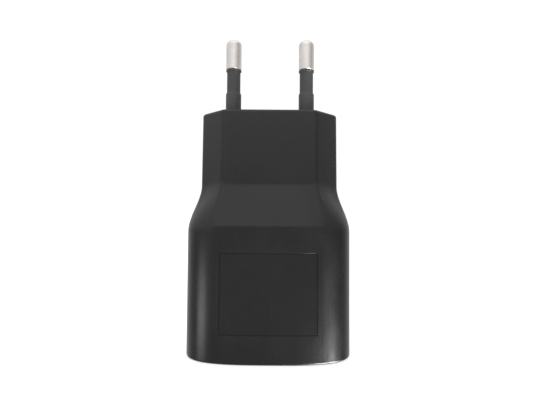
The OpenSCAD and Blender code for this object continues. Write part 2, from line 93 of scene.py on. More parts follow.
def arc(centre: Point, radius: float, start: float, end: float, steps: int) -> list[Point]:
    """Gives points along a circular arc.

    Args:
        centre: Centre of the arc.
        radius: Radius of the arc.
        start: Angle of the first point, in degrees.
        end: Angle of the last point, in degrees.
        steps: Number of chords.

    Returns:
        The arc's points, one more than its chords.
    """
    angles = [math.radians(mix(start, end, i / steps)) for i in range(steps + 1)]
    return [(centre[0] + radius * math.cos(a), centre[1] + radius * math.sin(a)) for a in angles]


def four_quarters(quarter: Sequence[Point]) -> list[Point]:
    """Mirrors one quarter of an outline, from the X axis to the Y axis, into the whole outline.

    Args:
        quarter: Points from (x, 0) round to (0, y).

    Returns:
        The closed outline, anticlockwise, without a repeated point.
    """
    back = list(reversed(quarter))
    return (list(quarter) + [(-x, y) for x, y in back[1:]] + [(-x, -y) for x, y in quarter[1:]]
            + [(x, -y) for x, y in back[1:-1]])


def at_height(outline: Sequence[Point], z: float) -> Ring:
    """Lifts a flat outline to a height."""
    return [Vector((x, y, z)) for x, y in outline]


def rounded_rectangle(
    width: float, depth: float, radius: float, steps: int = 6, fill: int = 0
) -> list[Point]:
    """Gives the outline of a rectangle with round corners, centred on the origin.

    Args:
        width: Size along X.
        depth: Size along Y.
        radius: Corner radius.
        steps: Chords in each corner.
        fill: Extra points along each half of a straight side.

    Returns:
        The closed outline, anticlockwise.
    """
    corner = arc((width / 2 - radius, depth / 2 - radius), radius, 0, 90, steps)
    side, front = (width / 2, 0.0), (0.0, depth / 2)
    return four_quarters(
        [side, *between(side, corner[0], fill), *corner, *between(corner[-1], front, fill), front]
    )


def circle(radius: float, count: int, centre: Point = (0.0, 0.0)) -> list[Point]:
    """Gives evenly spaced points round a circle."""
    return [
        (centre[0] + radius * math.cos(TURN * i / count), centre[1] + radius * math.sin(TURN * i / count))
        for i in range(count)
    ]


def ramp(value: float, start: float, end: float, start_blend: float, end_blend: float) -> float:
    """Rises from 0 to 1 in a straight line whose two ends are rounded off.

    Args:
        value: Where to read the ramp.
        start: Where the straight line would leave 0.
        end: Where the straight line would reach 1.
        start_blend: Half the length of the rounding at the start.
        end_blend: Half the length of the rounding at the end.

    Returns:
        The height of the ramp, from 0 to 1.
    """
    slope = 1 / (end - start)
    if value <= start - start_blend:
        return 0.0
    if value < start + start_blend:
        return slope * (value - start + start_blend) ** 2 / (4 * start_blend)
    if value <= end - end_blend:
        return slope * (value - start)
    if value < end + end_blend:
        return 1 - slope * (end + end_blend - value) ** 2 / (4 * end_blend)
    return 1.0


def ease(value: float, start: float, end: float) -> float:
    """Rises from 0 to 1 in an S curve between start and end."""
    share = min(1.0, max(0.0, (value - start) / (end - start)))
    return share * share * (3 - 2 * share)


# ---------------------------------------------------------------- modelling


def deselect_all() -> None:
    """Leaves every object deselected, so that an operator acts only on what is picked next."""
    if bpy.context.object is not None and bpy.context.object.mode != "OBJECT":
        bpy.ops.object.mode_set(mode="OBJECT")
    bpy.ops.object.select_all(action="DESELECT")


def pick(piece: bpy.types.Object) -> None:
    """Makes one object the only selected and the active one.

    Args:
        piece: The object.
    """
    deselect_all()
    piece.select_set(True)
    bpy.context.view_layer.objects.active = piece


@contextmanager
def editing(piece: bpy.types.Object, mode: str = "VERT") -> Iterator[None]:
    """Holds a piece in edit mode with nothing selected.

    Args:
        piece: The piece to edit.
        mode: VERT, EDGE or FACE selection.

    Returns:
        The time in which the piece is open for editing.
    """
    pick(piece)
    bpy.ops.object.mode_set(mode="EDIT")
    bpy.ops.mesh.select_mode(type=mode)
    bpy.ops.mesh.select_all(action="DESELECT")
    yield
    bpy.ops.object.mode_set(mode="OBJECT")


def select_faces(piece: bpy.types.Object, wanted: Callable[[bmesh.types.BMFace], bool]) -> int:
    """Selects, in edit mode, the faces that pass a test of their place or normal.

    Args:
        piece: The piece in edit mode.
        wanted: The test.

    Returns:
        How many faces are selected.
    """
    mesh = bmesh.from_edit_mesh(piece.data)
    count = 0
    for face in mesh.faces:
        face.select_set(bool(wanted(face)))
        count += face.select
    bmesh.update_edit_mesh(piece.data)
    return count


def apply_modifier(piece: bpy.types.Object, kind: str, **settings: object) -> None:
    """Adds a modifier, sets it and applies it.

    Args:
        piece: The piece that gets the modifier.
        kind: Blender's name for the modifier.
        **settings: The modifier's own settings.
    """
    pick(piece)
    bpy.ops.object.modifier_add(type=kind)
    modifier = piece.modifiers[-1]
    for name, value in settings.items():
        setattr(modifier, name, value)
    bpy.ops.object.modifier_apply(modifier=modifier.name)


def cut(piece: bpy.types.Object, cutter: bpy.types.Object) -> None:
    """Takes the cutter's shape out of a piece, and removes the cutter."""
    apply_modifier(piece, "BOOLEAN", object=cutter, operation="DIFFERENCE", solver="MANIFOLD")
    bpy.data.objects.remove(cutter)


def unite(piece: bpy.types.Object, others: Sequence[bpy.types.Object]) -> None:
    """Makes one solid of a piece and the shapes that overlap it, and removes those shapes.

    Args:
        piece: The piece that grows.
        others: The shapes that become part of it.
    """
    for other in others:
        apply_modifier(piece, "BOOLEAN", object=other, operation="UNION", solver="MANIFOLD")
        bpy.data.objects.remove(other)


def grow(name: str, rings: Sequence[Ring], loop: bool = False) -> bpy.types.Object:
    """Models a solid by drawing its first ring and extruding it from ring to ring.

    Args:
        name: The piece's name.
        rings: Rings with the same number of points.
        loop: Whether the last ring meets the first, as in a tube, or both ends are closed with a face.

    Returns:
        The piece, at the origin, with its normals outwards.
    """
    deselect_all()
    if loop:
        rings = [*rings, rings[0]]
    count = len(rings[0])
    bpy.ops.mesh.primitive_circle_add(vertices=count, radius=MM, location=(0, 0, 0))
    piece = bpy.context.object
    piece.name = piece.data.name = name
    with editing(piece):
        bpy.ops.mesh.select_all(action="SELECT")
        if not loop:
            bpy.ops.mesh.edge_face_add()
        for _ in rings[1:]:
            bpy.ops.mesh.extrude_region_move(TRANSFORM_OT_translate={"value": (0, 0, MM)})
        mesh = bmesh.from_edit_mesh(piece.data)
        levels: dict[int, list[bmesh.types.BMVert]] = {}
        for vert in mesh.verts:
            levels.setdefault(round(vert.co.z / MM), []).append(vert)
        for level, verts in levels.items():
            verts.sort(key=lambda v: math.atan2(v.co.y, v.co.x) % TURN)
            for vert, point in zip(verts, rings[level]):
                vert.co = point
        bmesh.update_edit_mesh(piece.data)
        bpy.ops.mesh.select_all(action="SELECT")
        if loop:
            bpy.ops.mesh.remove_doubles(threshold=0.001 * MM)
        bpy.ops.mesh.normals_make_consistent(inside=False)
        if bmesh.from_edit_mesh(piece.data).calc_volume(signed=True) < 0:
            bpy.ops.mesh.flip_normals()
    return piece


def lathe(
    name: str, profile: Sequence[Point], centre: Point, sides: int = 64, loop: bool = False
) -> bpy.types.Object:
    """Models a turned piece about an upright axis.

    Args:
        name: The piece's name.
        profile: Radius and height of each ring.
        centre: Where the axis stands, in X and Y.
        sides: Points round each ring.
        loop: Whether the profile closes on itself, as for a sleeve.

    Returns:
        The turned piece.
    """
    return grow(name, [at_height(circle(r, sides, centre), z) for r, z in profile], loop)


def block(name: str, low: Sequence[float], high: Sequence[float], bevel: float = 0.0) -> bpy.types.Object:
    """Models a box between two corners, with its edges rounded.

    Args:
        name: The piece's name.
        low: Lowest corner.
        high: Highest corner.
        bevel: Radius of the rounding, or 0 for a cutter.

    Returns:
        The box.
    """
    deselect_all()
    bpy.ops.mesh.primitive_cube_add(size=1, location=(0, 0, 0))
    piece = bpy.context.object
    piece.name = piece.data.name = name
    low, high = Vector(low), Vector(high)
    with editing(piece):
        bpy.ops.mesh.select_all(action="SELECT")
        bpy.ops.transform.resize(value=tuple(high - low), center_override=(0, 0, 0))
        bpy.ops.transform.translate(value=tuple((low + high) / 2))
        if bevel > 0:
            bpy.ops.mesh.bevel(offset=bevel, segments=3, profile=0.5, affect="EDGES")
    return piece


def flowing(path: Sequence[Point], parts: int) -> list[Point]:
    """Runs a smooth curve through the points of a path.

    Args:
        path: The points that the curve passes through.
        parts: Steps between one point and the next.

    Returns:
        The points of the curve.
    """
    points = [Vector(p) for p in (path[0], *path, path[-1])]
    curve = []
    for a, b, c, d in zip(points, points[1:], points[2:], points[3:]):
        for i in range(parts):
            t = i / parts
            place = b * 2 + (c - a) * t + (a * 2 - b * 5 + c * 4 - d) * t ** 2 + (
                b * 3 - a - c * 3 + d
            ) * t ** 3
            curve.append(tuple(place / 2))
    return [*curve, tuple(path[-1])]


def strip(name: str, path: Sequence[Point], thickness: float, x: float, width: float) -> bpy.types.Object:
    """Models a bent strip of sheet metal whose path lies in Y and Z, with its long edges eased.

    Args:
        name: The piece's name.
        path: Middle line of the strip, as Y and Z.
        thickness: Thickness of the sheet.
        x: Middle of the strip across its width.
        width: Width of the strip.

    Returns:
        The strip, closed at both ends.
    """
    points = [Vector(p) for p in path]
    ease_r = min(thickness * 0.35, width * 0.2)
    section = rounded_rectangle(width, thickness, ease_r, 2)
    rings = []
    for i, point in enumerate(points):
        along = (points[min(i + 1, len(points) - 1)] - points[max(i - 1, 0)]).normalized()
        across = Vector((-along.y, along.x))
        rings.append([Vector((x + u, point.x + across.x * v, point.y + across.y * v)) for u, v in section])
    return grow(name, rings)


def finish_surface(piece: bpy.types.Object, angle: float = 35.0) -> None:
    """Smooths the faces that meet at less than an angle, and weights normals towards the wide flats.

    Args:
        piece: The piece to finish.
        angle: The widest angle that still looks smooth, in degrees.
    """
    pick(piece)
    bpy.ops.object.shade_smooth_by_angle(angle=math.radians(angle))
    apply_modifier(piece, "WEIGHTED_NORMAL", mode="FACE_AREA", weight=60, keep_sharp=True)


# ---------------------------------------------------------------- shader groups


class Graph:
    """Adds and links the nodes of one node tree."""

    def __init__(self, tree: bpy.types.NodeTree) -> None:
        """Starts with an empty tree."""
        self.tree = tree
        tree.nodes.clear()

    def add(self, kind: str, inputs: dict[str, object] | None = None, **settings: object) -> bpy.types.Node:
        """Adds a node.

        Args:
            kind: Blender's type name of the node, without ShaderNode.
            inputs: Sockets to link from or values to set, by the input's name or its place.
            **settings: The node's own settings.

        Returns:
            The node.
        """
        node = self.tree.nodes.new(kind if kind.startswith("Node") else "ShaderNode" + kind)
        for name, value in settings.items():
            setattr(node, name, value)
        for name, value in (inputs or {}).items():
            socket = node.inputs[name]
            if isinstance(value, bpy.types.NodeSocket):
                self.tree.links.new(value, socket)
            else:
                socket.default_value = value
        return node

    def math(self, operation: str, a: object, b: object = 0.0, clamp: bool = False) -> bpy.types.NodeSocket:
        """Adds one step of arithmetic and returns its result."""
        return self.add("Math", {0: a, 1: b}, operation=operation, use_clamp=clamp).outputs[0]

    def blend(self, factor: object, a: object, b: object) -> bpy.types.NodeSocket:
        """Mixes two numbers by a factor and returns the result."""
        return self.add("Mix", {0: factor, 2: a, 3: b}, data_type="FLOAT").outputs[0]

    def tint(self, factor: object, a: object, b: object) -> bpy.types.NodeSocket:
        """Mixes two colours by a factor and returns the result."""
        return self.add("Mix", {0: factor, 6: a, 7: b}, data_type="RGBA").outputs[2]

    def spread(self, value: object, low: float, high: float, to_low: float = 0.0, to_high: float = 1.0
               ) -> bpy.types.NodeSocket:
        """Stretches a range of values onto another and returns the clamped result."""
        names = {"Value": value, "From Min": low, "From Max": high, "To Min": to_low, "To Max": to_high}
        return self.add("MapRange", names).outputs[0]

    def noise(
        self, vector: object, scale: object, detail: float = 2.0, rough: float = 0.5
    ) -> bpy.types.NodeSocket:
        """Adds a noise pattern and returns its value."""
        return self.add("TexNoise", {"Vector": vector, "Scale": scale, "Detail": detail, "Roughness": rough}
                        ).outputs["Fac"]

    def place(
        self, scale: tuple[float, float, float] = (1, 1, 1), turn: tuple[float, float, float] = (0, 0, 0)
    ) -> bpy.types.NodeSocket:
        """Reads Object coordinates, stretched and turned, and returns them."""
        where = self.add("TexCoord").outputs["Object"]
        return self.add("Mapping", {"Vector": where, "Scale": scale, "Rotation": turn}).outputs[0]


class Effect(Enum):
    """The surface effects that several materials share."""

    MOULD_GRAIN = "mould_grain"
    EDGE_WEAR = "edge_wear"
    HANDLING = "handling"
    FINE_SCRATCHES = "fine_scratches"
    TURNING_LINES = "turning_lines"


class EffectLibrary:
    """Builds each shared effect once, as a shader group with named inputs and outputs."""

    def __init__(self) -> None:
        """Builds every group."""
        makers = {
            Effect.MOULD_GRAIN: self.mould_grain,
            Effect.EDGE_WEAR: self.edge_wear,
            Effect.HANDLING: self.handling,
            Effect.FINE_SCRATCHES: self.fine_scratches,
            Effect.TURNING_LINES: self.turning_lines,
        }
        self.groups = {effect: maker(effect.value) for effect, maker in makers.items()}

    @staticmethod
    def start(name: str, inputs: dict[str, float], outputs: Sequence[str]
              ) -> tuple[Graph, bpy.types.Node, bpy.types.Node]:
        """Makes an empty group with number sockets.

        Args:
            name: The group's name.
            inputs: Each input's name and default value.
            outputs: The outputs' names.

        Returns:
            The group's graph, its input node and its output node.
        """
        tree = bpy.data.node_groups.new(name, "ShaderNodeTree")
        for label, value in inputs.items():
            tree.interface.new_socket(
                label, in_out="INPUT", socket_type="NodeSocketFloat"
            ).default_value = value
        for label in outputs:
            tree.interface.new_socket(label, in_out="OUTPUT", socket_type="NodeSocketFloat")
        graph = Graph(tree)
        return graph, graph.add("NodeGroupInput"), graph.add("NodeGroupOutput")

    def mould_grain(self, name: str) -> bpy.types.NodeTree:
        """Builds the fine eroded texture of a steel mould: soft pits over a finer tooth.

        Args:
            name: The group's name.

        Returns:
            The group.
        """
        g, given, out = self.start(name, {"Size": 0.2 * MM}, ["Height", "Pits"])
        per_size = g.math("DIVIDE", 1.0, given.outputs["Size"])
        where = g.place()
        pits = g.add("TexVoronoi", {"Vector": where, "Scale": per_size, "Smoothness": 0.6},
                     feature="SMOOTH_F1").outputs["Distance"]
        tooth = g.noise(where, g.math("MULTIPLY", per_size, 2.7), 3.0, 0.6)
        height = g.math("ADD", g.math("MULTIPLY", pits, 0.6), g.math("MULTIPLY", tooth, 0.4))
        g.tree.links.new(height, out.inputs["Height"])
        g.tree.links.new(g.spread(pits, 0.15, 0.75), out.inputs["Pits"])
        return g.tree

    def edge_wear(self, name: str) -> bpy.types.NodeTree:
        """Builds a mask of the outer edges, broken up as rubbed edges are.

        Args:
            name: The group's name.

        Returns:
            The group.
        """
        g, given, out = self.start(name, {"Reach": 0.04, "Breakup": 0.5}, ["Mask"])
        point = g.add("NewGeometry").outputs["Pointiness"]
        ridge = g.spread(point, 0.502, 0.502)
        g.tree.links.new(g.math("ADD", 0.502, given.outputs["Reach"]), ridge.node.inputs["From Max"])
        broken = g.noise(g.place(), 420.0, 5.0, 0.65)
        chipped = g.spread(broken, 0.35, 0.65)
        kept = g.math(
            "SUBTRACT", 1.0, g.math("MULTIPLY", given.outputs["Breakup"], g.math("SUBTRACT", 1.0, chipped))
        )
        g.tree.links.new(g.math("MULTIPLY", ridge, kept, clamp=True), out.inputs["Mask"])
        return g.tree

    def handling(self, name: str) -> bpy.types.NodeTree:
        """Builds soft smears, as fingers leave, and thin settled dust.

        Args:
            name: The group's name.

        Returns:
            The group.
        """
        g, given, out = self.start(name, {"Size": 9 * MM}, ["Smear", "Dust"])
        per_size = g.math("DIVIDE", 1.0, given.outputs["Size"])
        smear = g.noise(g.place((1, 1, 0.6)), per_size, 3.0, 0.55)
        g.tree.links.new(g.spread(smear, 0.3, 0.7), out.inputs["Smear"])
        up = g.add("SeparateXYZ", {0: g.add("NewGeometry").outputs["Normal"]}).outputs["Z"]
        specks = g.noise(g.place(), 3800.0, 2.0, 0.6)
        settled = g.math("MULTIPLY", g.spread(up, 0.2, 0.95), g.spread(specks, 0.52, 0.72))
        g.tree.links.new(settled, out.inputs["Dust"])
        return g.tree

    def fine_scratches(self, name: str) -> bpy.types.NodeTree:
        """Builds sparse hairline scratches in two directions.

        Args:
            name: The group's name.

        Returns:
            The group.
        """
        g, given, out = self.start(name, {"Amount": 0.5}, ["Mask"])
        marks = []
        for stretch, turn in (((1500, 1500, 60), (0.3, 0.2, 0.0)), ((70, 1400, 1600), (0.0, 0.35, 0.6))):
            line = g.noise(g.place(stretch, turn), 1.0, 1.0, 0.4)
            marks.append(g.spread(line, 0.735, 0.77))
        both = g.math("MAXIMUM", marks[0], marks[1])
        patch = g.spread(g.noise(g.place(), 130.0, 1.0), 0.5, 0.66)
        g.tree.links.new(
            g.math("MULTIPLY", g.math("MULTIPLY", both, patch), given.outputs["Amount"], clamp=True),
            out.inputs["Mask"]
        )
        return g.tree

    def turning_lines(self, name: str) -> bpy.types.NodeTree:
        """Builds the fine rings that turning leaves round an upright pin.

        Args:
            name: The group's name.

        Returns:
            The group.
        """
        g, given, out = self.start(name, {"Pitch": 0.06 * MM}, ["Height", "Band"])
        per_pitch = g.math("DIVIDE", 1.0, given.outputs["Pitch"])
        rings = g.noise(g.place((0.02, 0.02, 1)), per_pitch, 2.0, 0.7)
        bands = g.noise(g.place((0.05, 0.05, 1)), g.math("MULTIPLY", per_pitch, 0.12), 2.0, 0.5)
        g.tree.links.new(rings, out.inputs["Height"])
        g.tree.links.new(g.spread(bands, 0.35, 0.65), out.inputs["Band"])
        return g.tree


EFFECTS = EffectLibrary()


# ---------------------------------------------------------------- finishes


@dataclass(frozen=True)
class Finish:
    """A material's name and the two colours and roughnesses that it ranges between."""

    name: str
    colour: Colour
    second: Colour
    roughness: float
    roughness_range: float = 0.08

    def begin(self) -> tuple[bpy.types.Material, Graph, bpy.types.Node]:
        """Makes the material with an unlinked Principled shader.

        Returns:
            The material, its graph and its shader.
        """
        material = bpy.data.materials.new(self.name)
        material.use_nodes = True
        graph = Graph(material.node_tree)
        shader = graph.add("BsdfPrincipled")
        output = graph.add("OutputMaterial")
        graph.tree.links.new(shader.outputs[0], output.inputs[0])
        material.diffuse_color = (*self.colour, 1.0)
        return material, graph, shader

    @staticmethod
    def effect(graph: Graph, effect: Effect, inputs: dict[str, object] | None = None) -> bpy.types.Node:
        """Places one shared effect in a material.

        Args:
            graph: The material's graph.
            effect: Which effect.
            inputs: The effect's own values.

        Returns:
            The group node.
        """
        node = graph.add("Group")
        node.node_tree = EFFECTS.groups[effect]
        for name, value in (inputs or {}).items():
            node.inputs[name].default_value = value
        return node

    @staticmethod
    def relief(
        graph: Graph, shader: bpy.types.Node, height: object, distance: float, strength: float
    ) -> None:
        """Gives the shader a bumped surface.

        Args:
            graph: The material's graph.
            shader: The Principled shader.
            height: The pattern, from 0 to 1.
            distance: How deep the pattern goes, in metres.
            strength: Share of that depth that is used.
        """
        bump = graph.add("Bump", {"Height": height, "Distance": distance, "Strength": strength})
        graph.tree.links.new(bump.outputs[0], shader.inputs["Normal"])

    def make(self) -> bpy.types.Material:
        """Builds the material; each kind of finish does this in its own way."""
        raise NotImplementedError


@dataclass(frozen=True)
class MouldedPlastic(Finish):
    """Injection-moulded plastic with a fine eroded grain, smears, rubbed edges and hairline scratches."""

    grain: float = 0.16 * MM
    grain_depth: float = 0.006 * MM
    edge_lift: float = 0.25
    gloss: float = 0.5
    dust: float = 0.35
    scratches: float = 0.5

    def make(self) -> bpy.types.Material:
        """Builds the plastic.

        Returns:
            The material.
        """
        material, g, shader = self.begin()
        grain = self.effect(g, Effect.MOULD_GRAIN, {"Size": self.grain})
        wear = self.effect(g, Effect.EDGE_WEAR, {"Reach": 0.035, "Breakup": 0.45})
        hands = self.effect(g, Effect.HANDLING, {"Size": 8 * MM})
        scratch = self.effect(g, Effect.FINE_SCRATCHES, {"Amount": self.scratches})
        tone = g.tint(hands.outputs["Smear"], (*self.colour, 1), (*self.second, 1))
        tone = g.tint(
            g.math("MULTIPLY", grain.outputs["Pits"], 0.35), tone, (*[c * 0.6 for c in self.colour], 1)
        )
        rubbed = tuple(min(1.0, c * (1 + self.edge_lift) + 0.004) for c in self.second)
        tone = g.tint(g.math("MULTIPLY", wear.outputs["Mask"], 0.6), tone, (*rubbed, 1))
        tone = g.tint(
            g.math("MULTIPLY", scratch.outputs["Mask"], 0.25), tone, (*[c * 2.2 for c in rubbed], 1)
        )
        tone = g.tint(
            g.math("MULTIPLY", hands.outputs["Dust"], self.dust * 0.2), tone, (0.3, 0.29, 0.27, 1)
        )
        g.tree.links.new(tone, shader.inputs["Base Color"])
        rough = g.blend(hands.outputs["Smear"], self.roughness - self.roughness_range / 2,
                        self.roughness + self.roughness_range / 2)
        rough = g.math("ADD", rough, g.math("MULTIPLY", grain.outputs["Pits"], 0.05))
        rough = g.math("SUBTRACT", rough, g.math("MULTIPLY", wear.outputs["Mask"], 0.1))
        rough = g.math("ADD", rough, g.math("MULTIPLY", hands.outputs["Dust"], 0.3 * self.dust), clamp=True)
        g.tree.links.new(rough, shader.inputs["Roughness"])
        height = g.math(
            "SUBTRACT", grain.outputs["Height"], g.math("MULTIPLY", scratch.outputs["Mask"], 0.8)
        )
        self.relief(g, shader, height, self.grain_depth, 1.0)
        shader.inputs["Specular IOR Level"].default_value = self.gloss
        return material


@dataclass(frozen=True)
class TurnedMetal(Finish):
    """Plated metal turned on a lathe: fine rings, bands of polish and light contact marks."""

    pitch: float = 0.07 * MM
    depth: float = 0.002 * MM
    lines: float = 0.6

    def make(self) -> bpy.types.Material:
        """Builds the metal.

        Returns:
            The material.
        """
        material, g, shader = self.begin()
        rings = self.effect(g, Effect.TURNING_LINES, {"Pitch": self.pitch})
        scratch = self.effect(g, Effect.FINE_SCRATCHES, {"Amount": 0.8})
        wear = self.effect(g, Effect.EDGE_WEAR, {"Reach": 0.05, "Breakup": 0.3})
        hands = self.effect(g, Effect.HANDLING, {"Size": 2.4 * MM})
        tone = g.tint(hands.outputs["Smear"], (*self.colour, 1), (*self.second, 1))
        tone = g.tint(g.math("MULTIPLY", rings.outputs["Band"], 0.25), tone, (*self.second, 1))
        tone = g.tint(
            g.math("MULTIPLY", wear.outputs["Mask"], 0.2), tone,
            (*[min(1, c * 1.1) for c in self.colour], 1)
        )
        g.tree.links.new(tone, shader.inputs["Base Color"])
        rough = g.blend(rings.outputs["Band"], self.roughness - self.roughness_range / 2,
                        self.roughness + self.roughness_range / 2)
        rough = g.math("ADD", rough, g.math("MULTIPLY", scratch.outputs["Mask"], 0.15))
        rough = g.math("ADD", rough, g.math("MULTIPLY", hands.outputs["Smear"], 0.06), clamp=True)
        g.tree.links.new(rough, shader.inputs["Roughness"])
        height = g.math(
            "SUBTRACT", rings.outputs["Height"], g.math("MULTIPLY", scratch.outputs["Mask"], 0.5)
        )
        self.relief(g, shader, height, self.depth, self.lines)
        shader.inputs["Metallic"].default_value = 1.0
        return material


@dataclass(frozen=True)
class SheetMetal(Finish):
    """Rolled and plated sheet: straight rolling lines, soft tarnish and bright cut edges."""

    roll: tuple[float, float, float] = (1.0, 1.0, 0.04)
    line: float = 0.05 * MM
    depth: float = 0.0015 * MM

    def make(self) -> bpy.types.Material:
        """Builds the sheet.

        Returns:
            The material.
        """
        material, g, shader = self.begin()
        wear = self.effect(g, Effect.EDGE_WEAR, {"Reach": 0.06, "Breakup": 0.2})
        hands = self.effect(g, Effect.HANDLING, {"Size": 3 * MM})
        scratch = self.effect(g, Effect.FINE_SCRATCHES, {"Amount": 1.0})
        rolled = g.noise(g.place(self.roll), 1 / self.line, 2.0, 0.6)
        tone = g.tint(hands.outputs["Smear"], (*self.colour, 1), (*self.second, 1))
        tone = g.tint(
            g.math("MULTIPLY", wear.outputs["Mask"], 0.5), tone,
            (*[min(1, c * 1.15) for c in self.colour], 1)
        )
        g.tree.links.new(tone, shader.inputs["Base Color"])
        rough = g.blend(
            rolled, self.roughness - self.roughness_range, self.roughness + self.roughness_range
        )
        rough = g.math("ADD", rough, g.math("MULTIPLY", scratch.outputs["Mask"], 0.12), clamp=True)
        g.tree.links.new(rough, shader.inputs["Roughness"])
        self.relief(g, shader, rolled, self.depth, 0.7)
        shader.inputs["Metallic"].default_value = 1.0
        return material


@dataclass(frozen=True)
class BoardLaminate(Finish):
    """Solder mask over woven glass laminate, with copper tracks showing as a lighter, raised pattern."""

    weave: float = 0.45 * MM
    track: float = 1.3 * MM

    def make(self) -> bpy.types.Material:
        """Builds the laminate.

        Returns:
            The material.
        """
        material, g, shader = self.begin()
        where = g.place()
        warp = g.add(
            "TexWave", {"Vector": where, "Scale": 0.16 / self.weave, "Distortion": 0.4}, bands_direction="X"
        )
        weft = g.add(
            "TexWave", {"Vector": where, "Scale": 0.16 / self.weave, "Distortion": 0.4}, bands_direction="Z"
        )
        weave = g.math("MULTIPLY", warp.outputs["Fac"], weft.outputs["Fac"])
        tracks = {"Vector": g.place((1, 0.01, 1)), "Scale": 0.35 / self.track}
        cells = g.add("TexVoronoi", tracks, feature="DISTANCE_TO_EDGE",
                      distance="EUCLIDEAN").outputs["Distance"]
        copper = g.spread(cells, 0.07, 0.09)
        tone = g.tint(copper, (*self.colour, 1), (*self.second, 1))
        tone = g.tint(g.math("MULTIPLY", weave, 0.2), tone, (*[c * 1.4 for c in self.second], 1))
        g.tree.links.new(tone, shader.inputs["Base Color"])
        g.tree.links.new(g.blend(copper, self.roughness + self.roughness_range, self.roughness),
                         shader.inputs["Roughness"])
        self.relief(g, shader, g.math("ADD", copper, g.math("MULTIPLY", weave, 0.3)), 0.035 * MM, 0.6)
        return material


@dataclass(frozen=True)
class WoundWire(Finish):
    """Enamelled wire laid turn on turn: even ridges with a warm, glossy lacquer, and painted shade in the
    grooves between them.
    """

    wire: float = 0.28 * MM

    def make(self) -> bpy.types.Material:
        """Builds the winding, with painted shade tinting the grooves between turns darker.

        Returns:
            The material.
        """
        material, g, shader = self.begin()
        turns = g.add("TexWave", {"Vector": g.place(), "Scale": 0.314 / self.wire, "Distortion": 0.3},
                      bands_direction="Z", wave_profile="SIN").outputs["Fac"]
        blot = g.noise(g.place(), 900.0, 3.0)
        # Painted shade: the troughs of the turns pattern, the grooves between the wires, take the darker
        # second colour. The blot only adds a random change of tone.
        tone = g.tint(
            g.math("MULTIPLY", turns, g.spread(blot, 0.3, 0.7, 0.7, 1.0)), (*self.second, 1),
            (*self.colour, 1)
        )
        g.tree.links.new(tone, shader.inputs["Base Color"])
        g.tree.links.new(
            g.blend(blot, self.roughness - self.roughness_range, self.roughness + self.roughness_range),
            shader.inputs["Roughness"]
        )
        self.relief(g, shader, turns, self.wire * 0.4, 0.9)
        shader.inputs["Metallic"].default_value = 0.7
        return material


@dataclass(frozen=True)
class FiredOrDipped(Finish):
    """A fired, sintered or dipped coat: orange-peel ripple, pinholes and a soft change of tone."""

    ripple: float = 0.5 * MM
    depth: float = 0.02 * MM
    speckle: float = 0.3

    def make(self) -> bpy.types.Material:
        """Builds the coat.

        Returns:
            The material.
        """
        material, g, shader = self.begin()
        ripple = g.noise(g.place(), 1 / self.ripple, 2.0, 0.5)
        specks = g.spread(g.noise(g.place(), 6 / self.ripple, 2.0, 0.7), 0.6, 0.72)
        tone = g.tint(g.spread(ripple, 0.3, 0.7), (*self.colour, 1), (*self.second, 1))
        tone = g.tint(g.math("MULTIPLY", specks, self.speckle), tone, (*[c * 0.45 for c in self.colour], 1))
        g.tree.links.new(tone, shader.inputs["Base Color"])
        rough = g.blend(
            ripple, self.roughness - self.roughness_range, self.roughness + self.roughness_range
        )
        g.tree.links.new(
            g.math("ADD", rough, g.math("MULTIPLY", specks, 0.2), clamp=True), shader.inputs["Roughness"]
        )
        self.relief(g, shader, g.math("SUBTRACT", ripple, g.math("MULTIPLY", specks, 0.3)), self.depth, 0.7)
        return material


